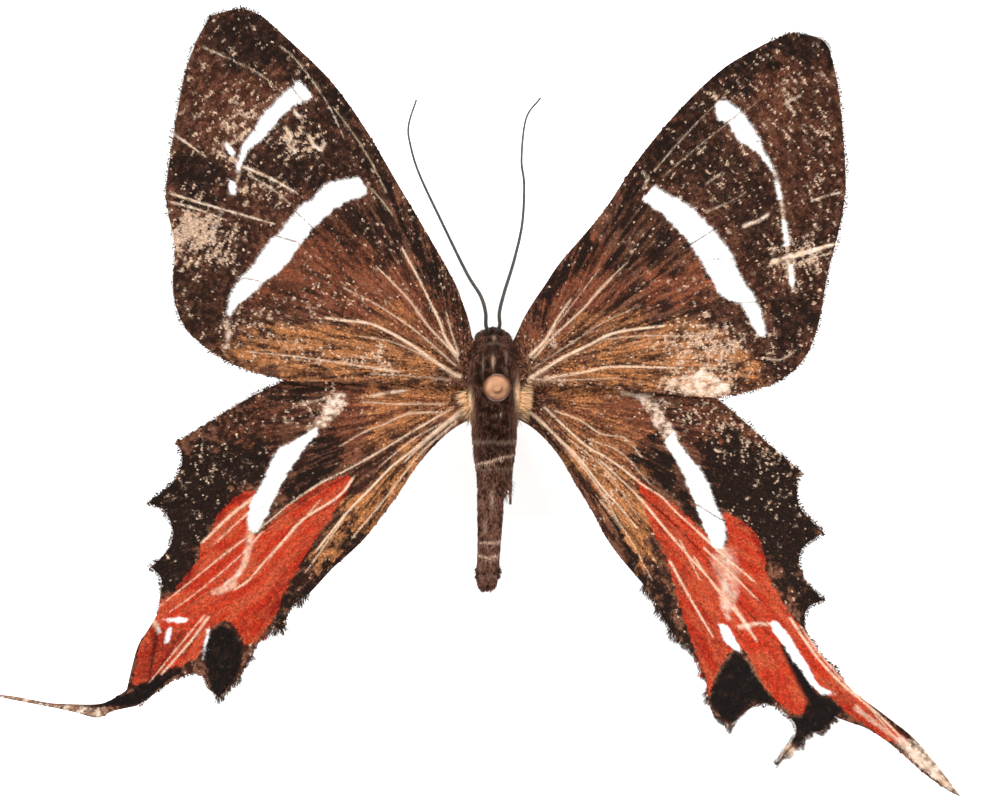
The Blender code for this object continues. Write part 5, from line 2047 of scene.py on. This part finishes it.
    def marks(self, places: np.ndarray, angle: np.ndarray) -> tuple[np.ndarray, ...]:
        """The coat's marks: cream rings and spots, tan at the wing roots, and lighter sides.

        Args:
            places: Places on the body.
            angle: Each one's turn about the body.

        Returns:
            The masks mark, tan and light.
        """
        x, y = places[:, 0], places[:, 1]
        rough = (grain(places[:, :2], 0.1, 5) - 0.5) * 1.6
        back = smooth(np.sin(angle), -0.1, 0.4)
        column = x / GRID_MM + PIN_COLUMN
        row = PIN_ROW - y / GRID_MM

        def spot(col: float, mid: float, wide: float, high: float) -> np.ndarray:
            """A soft spot's share at each place."""
            return np.exp(-(((column - col) / wide) ** 2 + ((row - mid) / high) ** 2))

        mark = np.zeros(len(x))
        slant = 461 - (column - 493) * 0.24
        curve = 559 + np.abs(column - 489) * -0.25
        collar = 343 + (column - 494) ** 2 * 0.018
        bands = ((slant, 1.0, 0.95), (curve, 1.1, 0.9), (collar, 1.4, 0.1), (collar - 7, 1.0, 0.06))
        for middle, half, amount in (*self.ring_marks, *bands):
            gap = np.abs(row - middle + rough)
            mark = np.maximum(mark, amount * smooth(-gap, -half * 1.5, -half * 0.6) * back)
        for *shape, amount in self.spot_marks:
            mark = np.maximum(mark, amount * spot(*shape) * back)
        abdomen = smooth(-y, 3.9, 4.5)
        mottle = grain(places[:, :2], 0.15, 8) * 0.45 + grain(places[:, :2], 0.07, 9) * 0.55
        streak = grain(places[:, :2] * (1.0, 0.25), 0.09, 10)
        side = smooth(np.abs(np.cos(angle)), 0.55, 0.95)
        flank = side * (0.4 + 0.5 * np.exp(-(((row - 414) / 18) ** 2))) + smooth(streak, 0.5, 0.9) * 0.4
        light = abdomen * smooth(mottle, 0.3, 0.72) + (1 - abdomen) * flank
        tan = np.maximum(spot(470, 402, 3, 10), spot(518, 394, 3, 13)) * 0.8
        return np.clip(mark, 0, 1), tan, np.clip(light, 0, 1)

    def unwrap(self, across: np.ndarray, y: np.ndarray) -> np.ndarray:
        """Each root's place on an unwrap of the skin."""
        return np.column_stack((across, (y + self.unwrap_from) / self.unwrap_span)) * 0.96 + 0.02

    def skin(self) -> bpy.types.Object:
        """Builds the one skin of head, thorax and abdomen.

        Returns:
            The skin.
        """
        front, rear = self.rings[0].y, self.rings[-1].y
        rows = np.arange(front, rear, -self.pitch)
        angles = np.linspace(0, 2 * math.pi, self.sides, endpoint=False)
        rings = [self.surface(np.full(self.sides, y), -angles) for y in rows]
        points, faces = loft(rings)
        turned = np.tile(-angles, len(rows))
        piece = mesh_piece("body_skin", points, faces, self.skin_finish)
        set_colours(piece, "marks", self.marks(points, turned))
        set_values(piece, "tone", np.full(len(points), 0.3))
        shade_smooth(piece)
        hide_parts("head", "thorax", "abdomen")
        return piece

    def hair(
        self, name: str, span: tuple[float, float], count: int, lengths: tuple[float, float],
        stand: float, seed: int,
    ) -> bpy.types.Object:
        """Sets hair over a length of the body.

        Args:
            name: The coat's name.
            span: Where it starts and ends along the body.
            count: How many hairs.
            lengths: The shortest and the longest hair.
            stand: How far a hair stands off, as a share of its length.
            seed: Seed of the random draw.

        Returns:
            The coat.
        """
        rng = np.random.default_rng(seed)
        y = rng.uniform(span[1], span[0], count * 2)
        half, *_ = self.section(y)
        y = y[rng.uniform(0, 1.3, len(y)) < half / half.max() + 0.15][:count]
        count = len(y)
        angle = rng.uniform(0, 2 * math.pi, count)
        roots = self.surface(y, angle, -0.02)
        off = self.surface(y, angle, 0.05) - roots
        back = self.surface(y - 0.05, angle, -0.02) - roots
        aside = unit(np.cross(back, off))
        ahead = unit(back) + aside * rng.normal(0, 0.28, count)[:, None]
        size = rng.uniform(*lengths, count)
        lie = Lie(
            roots=roots,
            ahead=ahead,
            normals=off,
            lengths=size,
            widths=rng.uniform(0.035, 0.06, count),
            lifts=size * stand * rng.uniform(0.5, 1.3, count),
            patches=self.unwrap(angle / (2 * math.pi), y),
        )
        points, faces, maps = lie.hairs(0.45)
        piece = mesh_piece(name, points, faces, self.coat_finish)
        set_colours(piece, "marks", self.marks(points, np.repeat(angle, len(points) // count)))
        return finish_coat(piece, rng.uniform(0, 1, count), maps)

    def tufts(self) -> bpy.types.Object:
        """Sets the tan tufts over the wing roots, the flap beside the abdomen and the tufts at its tip.

        Returns:
            The tufts.
        """
        rng = np.random.default_rng(64)
        roots, ahead, off, sizes, widths, tans, lights = [], [], [], [], [], [], []
        for tuft in self.tuft_plan:
            count = tuft.count
            y = rng.uniform(tuft.rear, tuft.front, count)
            angle = np.radians(rng.uniform(tuft.low, tuft.high, count))
            if tuft.side is Side.LEFT:
                angle = math.pi - angle
            root = self.surface(y, angle, -0.03)
            aim = tuft.side.turned(tuft.out, -tuft.back, tuft.up) + rng.normal(0, 0.3, (count, 3))
            roots.append(root)
            ahead.append(aim)
            off.append(np.cross(aim, (0.0, 1.0, 0.0)) + (0, 0, 1.5))
            sizes.append(rng.uniform(0.4, 1.0, count) * tuft.length)
            widths.append(rng.uniform(0.04, 0.075, count))
            clump = 0.4 + 0.6 * smooth(grain(root[:, 1:], 0.24, 15), 0.35, 0.6)
            tans.append(tuft.tan * clump * rng.uniform(0.8, 1.0, count))
            lights.append(np.full(count, tuft.light) * rng.uniform(0.3, 1.0, count))
        roots = np.vstack(roots)
        count = len(roots)
        sizes = np.concatenate(sizes)
        lie = Lie(
            roots=roots,
            ahead=np.vstack(ahead),
            normals=np.vstack(off),
            lengths=sizes,
            widths=np.concatenate(widths),
            lifts=sizes * rng.uniform(0.0, 0.2, count),
            patches=self.unwrap((roots[:, 0] + 2) / 4, roots[:, 1]),
        )
        points, faces, maps = lie.hairs(0.4)
        piece = mesh_piece("body_tufts", points, faces, self.coat_finish)
        masks = (np.zeros(count), np.concatenate(tans), np.concatenate(lights))
        set_colours(piece, "marks", tuple(np.repeat(mask, len(points) // count) for mask in masks))
        return finish_coat(piece, rng.uniform(0, 1, count), maps)

    def scales(self) -> bpy.types.Object:
        """Lays scales over the abdomen in overlapping rows.

        Returns:
            The coat.
        """
        rng = np.random.default_rng(71)
        around = 60
        rows = np.arange(-2.9, -10.0, -0.085)
        y = np.repeat(rows, around) + rng.uniform(-0.04, 0.04, len(rows) * around)
        angle = np.tile(np.linspace(0, 2 * math.pi, around, endpoint=False), len(rows))
        angle = angle + rng.uniform(-0.05, 0.05, len(y))
        count = len(y)
        roots = self.surface(y, angle, 0.0)
        off = self.surface(y, angle, 0.05) - roots
        back = self.surface(y - 0.05, angle, 0.0) - roots
        lie = Lie(
            roots=roots,
            ahead=back + np.column_stack((rng.normal(0, 0.008, count), np.zeros(count), np.zeros(count))),
            normals=off,
            lengths=rng.uniform(0.16, 0.27, count),
            widths=rng.uniform(0.07, 0.11, count),
            lifts=rng.uniform(0.03, 0.1, count),
            patches=self.unwrap(angle / (2 * math.pi) % 1.0, y),
        )
        points, faces, maps = lie.scales(0.012)
        piece = mesh_piece("abdomen_coat", points, faces, self.coat_finish)
        set_colours(piece, "marks", self.marks(points, np.repeat(angle, len(points) // count)))
        return finish_coat(piece, rng.uniform(0, 1, count), maps)

    def build(self) -> list[bpy.types.Object]:
        """Builds the skin and its coats.

        Returns:
            The pieces.
        """
        tip = (-9.3, -10.02)
        return [
            self.skin(),
            self.hair("thorax_coat", (2.35, -2.95), count=9000, lengths=(0.25, 0.55), stand=0.42, seed=61),
            self.hair("head_coat", (3.04, 2.2), count=2600, lengths=(0.12, 0.24), stand=0.5, seed=62),
            self.scales(),
            self.hair("abdomen_tip_tuft", tip, count=900, lengths=(0.18, 0.36), stand=0.36, seed=63),
            self.tufts(),
        ]


@dataclass
class Eye:
    """One eye, sunk a little in the head."""

    side: Side
    finish: bpy.types.Material
    centre: tuple[float, float, float] = (0.6, 2.46, -0.12)
    radii: tuple[float, float, float] = (0.33, 0.38, 0.42)

    def build(self) -> bpy.types.Object:
        """Shapes an eye from a fine ball and replaces the frame's.

        Returns:
            The eye.
        """
        bpy.ops.object.select_all(action="DESELECT")
        middle = HEAD_MIDDLE + self.side.turned(*self.centre)
        bpy.ops.mesh.primitive_ico_sphere_add(subdivisions=5, radius=MM, location=middle * MM)
        eye = bpy.context.active_object
        eye.name = f"eye_{self.side.word}_facets"
        eye.scale = self.radii
        bpy.ops.object.transform_apply(location=True, rotation=True, scale=True)
        bpy.ops.object.shade_smooth()
        eye.data.materials.append(self.finish)
        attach(eye, BODY)
        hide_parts(f"eye_{self.side.word}")
        return eye


@dataclass
class Limb:
    """A jointed or ringed tube, such as a feeler, a leg, a palp or the coiled tongue."""

    name: str
    nodes: tuple[str, ...]
    knots: np.ndarray
    finish: bpy.types.Material
    root_radius: float
    tip_radius: float
    joint_pitch: float
    joint_swell: float
    sides: int = 10
    pitch: float = 0.03

    def build(self) -> bpy.types.Object:
        """Builds the tube with a swelling at each joint.

        Returns:
            The limb.
        """
        path = spline(self.knots, self.pitch)
        steps = np.linalg.norm(np.diff(path, axis=0), axis=1)
        along = np.concatenate(((0.0,), np.cumsum(steps)))
        share = along / along[-1]
        radii = self.root_radius + (self.tip_radius - self.root_radius) * share ** 0.8
        radii = radii * (1 + self.joint_swell * np.abs(np.sin(math.pi * along / self.joint_pitch)) ** 0.6)
        radii[-1] *= 0.4
        points, faces = tube(path, radii, self.sides)
        piece = mesh_piece(self.name, points, faces, self.finish)
        set_values(piece, "along", np.repeat(along, self.sides))
        shade_smooth(piece)
        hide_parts(*self.nodes)
        return piece


@dataclass
class Limbs:
    """Feelers, legs, palps and the coiled tongue."""

    feeler_look: bpy.types.Material
    leg_look: bpy.types.Material
    palp_look: bpy.types.Material
    tongue_look: bpy.types.Material
    feeler_root: tuple[float, float, float] = (0.3, 2.98, 0.85)
    feeler_level: float = 1.2
    feeler_arch: float = 1.5
    palp_root: tuple[float, float, float] = (0.52, 2.6, -1.0)
    tongue_middle: tuple[float, float, float] = (0.0, 2.8, -1.49)
    coil_steps: int = 30
    coil_start: float = math.radians(110)
    coil_turn: float = math.radians(660)
    coil_radius: float = 0.32
    coil_narrowing: float = 0.23
    coil_sway: float = 0.012
    stations: dict[Side, tuple[Station, ...]] = field(default_factory=lambda: {
        Side.LEFT: (
            (485.5, 312), (480.5, 296), (467, 274), (443, 225), (420, 176), (411, 147), (409, 127),
            (416.7, 101),
        ),
        Side.RIGHT: (
            (499.5, 312), (504.5, 292), (514, 261), (522, 225), (524, 186), (521.4, 160), (526, 120),
            (540.5, 99),
        ),
    })
    legs: dict[str, tuple[tuple[float, float, float], ...]] = field(default_factory=lambda: {
        "front": (
            (0.5, 1.15, -1.3), (0.5, 1.15, -1.66), (0.62, 1.35, -2.0), (0.78, 2.2, -2.35),
            (0.6, 2.7, -2.75), (0.42, 1.9, -3.2), (0.42, 0.75, -3.3),
        ),
        "mid": (
            (0.55, -0.85, -1.3), (0.55, -0.85, -1.66), (0.75, -0.8, -2.0), (1.0, -0.3, -2.6),
            (0.98, -0.95, -3.2), (0.85, -2.2, -3.35), (0.55, -3.9, -3.2),
        ),
        "hind": (
            (0.45, -1.85, -1.3), (0.45, -1.85, -1.66), (0.55, -2.0, -2.0), (0.8, -2.9, -2.3),
            (0.62, -4.6, -2.15), (0.45, -6.6, -2.0),
        ),
    })
    right_hind: tuple[tuple[float, float, float], ...] = (
        (0.45, -1.85, -1.3), (0.45, -1.85, -1.66), (0.6, -2.05, -2.0), (0.95, -2.9, -2.1),
        (0.85, -4.4, -1.6), (0.83, -5.85, -1.5),
    )

    def feeler(self, side: Side) -> bpy.types.Object:
        """Builds a feeler, on the frame's path.

        Args:
            side: Its side.

        Returns:
            The feeler.
        """
        places = on_grid(self.stations[side])
        root = HEAD_MIDDLE + side.turned(*self.feeler_root)
        knots = [root + side.turned(-0.1, -0.2, -0.45), root, root + side.turned(0.05, 0.22, 0.3)]
        for i, (x, y) in enumerate(places):
            share = (i + 1) / len(places)
            arch = self.feeler_arch * math.sin(math.pi * share * 0.75)
            knots.append((x, y, WING_PLANE + self.feeler_level + arch))
        return Limb(
            f"antenna_{side.word}_rings", (f"antenna_{side.word}",), np.array(knots), self.feeler_look,
            root_radius=0.095, tip_radius=0.045, joint_pitch=0.12, joint_swell=0.12,
        ).build()

    def leg(self, side: Side, pair: str) -> bpy.types.Object:
        """Builds a folded leg.

        Args:
            side: Its side.
            pair: Its pair of legs.

        Returns:
            The leg.
        """
        used = self.right_hind if (pair, side) == ("hind", Side.RIGHT) else self.legs[pair]
        knots = np.array([LEGS_MIDDLE + side.turned(*knot) for knot in used])
        name = f"leg_{pair}_{side.word}"
        return Limb(
            f"{name}_shaped", (name,), knots, self.leg_look,
            root_radius=0.16, tip_radius=0.06, joint_pitch=0.9, joint_swell=0.18,
        ).build()

    def palp(self, side: Side) -> bpy.types.Object:
        """Builds a palp under the head.

        Args:
            side: Its side.

        Returns:
            The palp.
        """
        root = HEAD_MIDDLE + side.turned(*self.palp_root)
        steps = ((-0.25, -0.12, 0.35), (0, 0, 0), (0.02, 0.12, -0.3), (0.02, 0.27, -0.62))
        knots = np.array([root + side.turned(*step) for step in steps])
        return Limb(
            f"palp_{side.word}_scaled", (f"palp_{side.word}",), knots, self.palp_look,
            root_radius=0.15, tip_radius=0.08, joint_pitch=0.45, joint_swell=0.2,
        ).build()

    def tongue(self) -> bpy.types.Object:
        """Builds the tongue, coiled under the head.

        Returns:
            The tongue.
        """
        middle = HEAD_MIDDLE + self.tongue_middle
        coil = [middle + (0, -0.02, 0.75)]
        for step in range(self.coil_steps + 1):
            share = step / self.coil_steps
            angle = self.coil_start - self.coil_turn * share
            radius = self.coil_radius - self.coil_narrowing * share
            across, along = math.sin(angle), math.cos(angle)
            coil.append(middle + (self.coil_sway * across, along * radius, across * radius))
        return Limb(
            "proboscis_coil", ("proboscis",), np.array(coil), self.tongue_look,
            root_radius=0.055, tip_radius=0.03, joint_pitch=0.05, joint_swell=0.1,
        ).build()

    def build(self, side: Side) -> list[bpy.types.Object]:
        """Builds one side's feeler, legs and palp."""
        return [self.feeler(side), *(self.leg(side, pair) for pair in self.legs), self.palp(side)]


@dataclass
class Pin:
    """The steel pin, in one length from the block to its head."""

    shaft_finish: bpy.types.Material
    head_finish: bpy.types.Material
    shaft_radius: float = 0.23
    top: float = 40.0
    head_height: float = 0.95
    head_radius: float = 0.675
    head_sides: int = 40
    dimple_depth: float = 0.07
    dimple_radius: float = 0.16
    shaft_end: float = 39.6
    foot: float = 8.4

    def shaft(self) -> bpy.types.Object:
        """Shapes the shaft from a cylinder with eased ends and replaces the frame's two lengths.

        Returns:
            The shaft.
        """
        bpy.ops.object.select_all(action="DESELECT")
        length = self.shaft_end - self.foot
        bpy.ops.mesh.primitive_cylinder_add(
            vertices=32, radius=self.shaft_radius * MM, depth=length * MM,
            location=(0, 0, (self.foot + length / 2) * MM),
        )
        shaft = bpy.context.active_object
        shaft.name = "pin_shaft"
        bpy.ops.object.transform_apply(location=True, rotation=True, scale=True)
        bevel = shaft.modifiers.new("edge", "BEVEL")
        bevel.width = 0.03 * MM
        bevel.segments = 2
        bpy.ops.object.modifier_apply(modifier="edge")
        bpy.ops.object.shade_smooth_by_angle(angle=math.radians(40))
        shaft.data.materials.append(self.shaft_finish)
        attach(shaft, BODY)
        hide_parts("stand_pin_upper", "stand_pin_lower")
        return shaft

    def head(self) -> bpy.types.Object:
        """Turns the flattened head with the dimple that its making leaves.

        Returns:
            The head.
        """
        steps = 24
        rings = []
        angles = np.linspace(0, 2 * math.pi, self.head_sides, endpoint=False)
        for i in range(steps + 1):
            turn = math.pi * i / steps
            radius = max(self.head_radius * math.sin(turn), 0.02)
            rise = 1 - math.cos(turn)
            dent = self.dimple_depth * math.exp(-((radius / self.dimple_radius) ** 2)) if rise > 1 else 0.0
            height = self.top - self.head_height + self.head_height / 2 * rise - dent
            level = np.full(self.head_sides, height)
            rings.append(np.column_stack((radius * np.cos(angles), radius * np.sin(angles), level)))
        points, faces = loft(rings)
        piece = mesh_piece("pin_head", points, faces, self.head_finish)
        shade_smooth(piece)
        return piece

    def build(self) -> list[bpy.types.Object]:
        """Builds the shaft and the head."""
        return [self.shaft(), self.head()]


@dataclass
class Block:
    """The white block that the pin stands in."""

    finish: bpy.types.Material
    side: float = 14.0
    height: float = 9.0
    bevel: float = 0.4

    def build(self) -> bpy.types.Object:
        """Shapes the block with soft edges and replaces the frame's.

        Returns:
            The block.
        """
        bpy.ops.object.select_all(action="DESELECT")
        bpy.ops.mesh.primitive_cube_add(size=MM, location=(0, 0, self.height / 2 * MM))
        block = bpy.context.active_object
        block.name = "block"
        block.scale = (self.side, self.side, self.height)
        bpy.ops.object.transform_apply(location=True, rotation=True, scale=True)
        bpy.ops.object.mode_set(mode="EDIT")
        bpy.ops.mesh.select_all(action="SELECT")
        bpy.ops.mesh.bevel(offset=self.bevel * MM, segments=5, profile=0.5, affect="EDGES")
        bpy.ops.object.mode_set(mode="OBJECT")
        bpy.ops.object.shade_smooth_by_angle(angle=math.radians(30))
        block.data.materials.append(self.finish)
        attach(block, BODY)
        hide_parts("stand_base")
        return block


@dataclass
class Studio:
    """Floor, lights and camera."""

    camera_height: float = 0.45
    centre: tuple[float, float] = (-0.05, -0.875)
    frame_width: float = 49.6
    focus: float = WING_PLANE + 0.4
    sensor: float = 36.0
    glow: float = 0.45
    room: float = 0.9

    def floor(self) -> bpy.types.Object:
        """Lays a plain pale floor, lit a little from below as on a light table.

        Returns:
            The floor.
        """
        bpy.ops.object.select_all(action="DESELECT")
        bpy.ops.mesh.primitive_plane_add(size=3.0, location=(0, 0, 0))
        floor = bpy.context.active_object
        floor.name = "floor"
        made, bench, shader = new_material("floor_white")
        faint = bench.ramp(bench.noise(40.0, 2.0), 0.3, 0.7)
        bench.link(bench.mix(faint, (0.93, 0.93, 0.93), (0.9, 0.9, 0.9)), shader.inputs["Base Color"])
        shader.inputs["Roughness"].default_value = 0.9
        shader.inputs["Emission Color"].default_value = (1, 1, 1, 1)
        shader.inputs["Emission Strength"].default_value = self.glow
        floor.data.materials.append(made)
        return floor

    def light(self, name: str, place: tuple[float, float, float], size: float, power: float) -> None:
        """Hangs a soft area light that looks at the moth.

        Args:
            name: Its name.
            place: Where it hangs, in metres.
            size: How wide it is, in metres.
            power: How strong it is, in watts.
        """
        data = bpy.data.lights.new(name, "AREA")
        data.shape = "DISK"
        data.size = size
        data.energy = power
        lamp = bpy.data.objects.new(name, data)
        bpy.context.scene.collection.objects.link(lamp)
        lamp.location = place
        aim = Vector((0, 0, WING_PLANE * MM)) - Vector(place)
        lamp.rotation_euler = aim.to_track_quat("-Z", "Y").to_euler()

    def camera(self) -> None:
        """Sets the camera straight over the moth."""
        data = bpy.data.cameras.new("camera")
        camera = bpy.data.objects.new("camera", data)
        bpy.context.scene.collection.objects.link(camera)
        camera.location = (self.centre[0] * MM, self.centre[1] * MM, self.camera_height)
        data.sensor_width = self.sensor
        distance = self.camera_height - self.focus * MM
        data.lens = self.sensor * distance / (self.frame_width * MM)
        data.clip_start = 0.01
        bpy.context.scene.camera = camera

    def build(self) -> None:
        """Builds the studio."""
        self.floor()
        self.camera()
        self.light("key", (-0.22, 0.28, 0.42), size=0.3, power=2.5)
        self.light("fill", (0.35, -0.2, 0.36), size=0.4, power=1.3)
        world = bpy.data.worlds.new("soft_room")
        world.use_nodes = True
        background = world.node_tree.nodes["Background"]
        background.inputs["Color"].default_value = (1, 1, 1, 1)
        background.inputs["Strength"].default_value = self.room
        bpy.context.scene.world = world
        bpy.context.scene.view_settings.view_transform = "Standard"


def report(*pieces: bpy.types.Object) -> None:
    """Logs each piece's name and size."""
    for piece in pieces:
        LOG.info("%s: %d faces", piece.name, len(piece.data.polygons))


def main() -> None:
    """Builds the whole moth over its frame."""
    logging.basicConfig(level=logging.INFO, format="%(name)s: %(message)s")
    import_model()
    bpy.ops.object.select_all(action="DESELECT")
    Studio().build()
    wing_look = WingFinish("wing_scales").material()
    for plan in (FOREWING_LEFT, FOREWING_RIGHT, HINDWING_LEFT, HINDWING_RIGHT):
        report(*Wing(plan, wing_look).build())
    skin_look = FurFinish("body_skin_scales", srgb(46, 28, 20), srgb(108, 68, 50)).material()
    coat_look = FurFinish("body_hair", srgb(56, 34, 25), srgb(150, 104, 86)).material()
    report(*Trunk(skin_look, coat_look).build())
    eye_look = EyeFinish().material()
    limbs = Limbs(
        ChitinFinish("feeler_scales", srgb(58, 50, 46), srgb(120, 108, 98), band_mm=0.12).material(),
        ChitinFinish("leg_scales", srgb(74, 48, 36), srgb(196, 156, 116), band_mm=0.7).material(),
        ChitinFinish("palp_scales", srgb(52, 34, 26), srgb(88, 58, 42), band_mm=0.3).material(),
        ChitinFinish("tongue_rings", srgb(96, 56, 32), srgb(132, 82, 46), band_mm=0.06).material(),
    )
    for side in Side:
        report(Eye(side, eye_look).build(), *limbs.build(side))
    report(limbs.tongue())
    report(*Pin(SteelFinish().material(), PinHeadFinish().material()).build())
    report(Block(PaintFinish().material()).build())


if __name__ == "__main__":
    main()
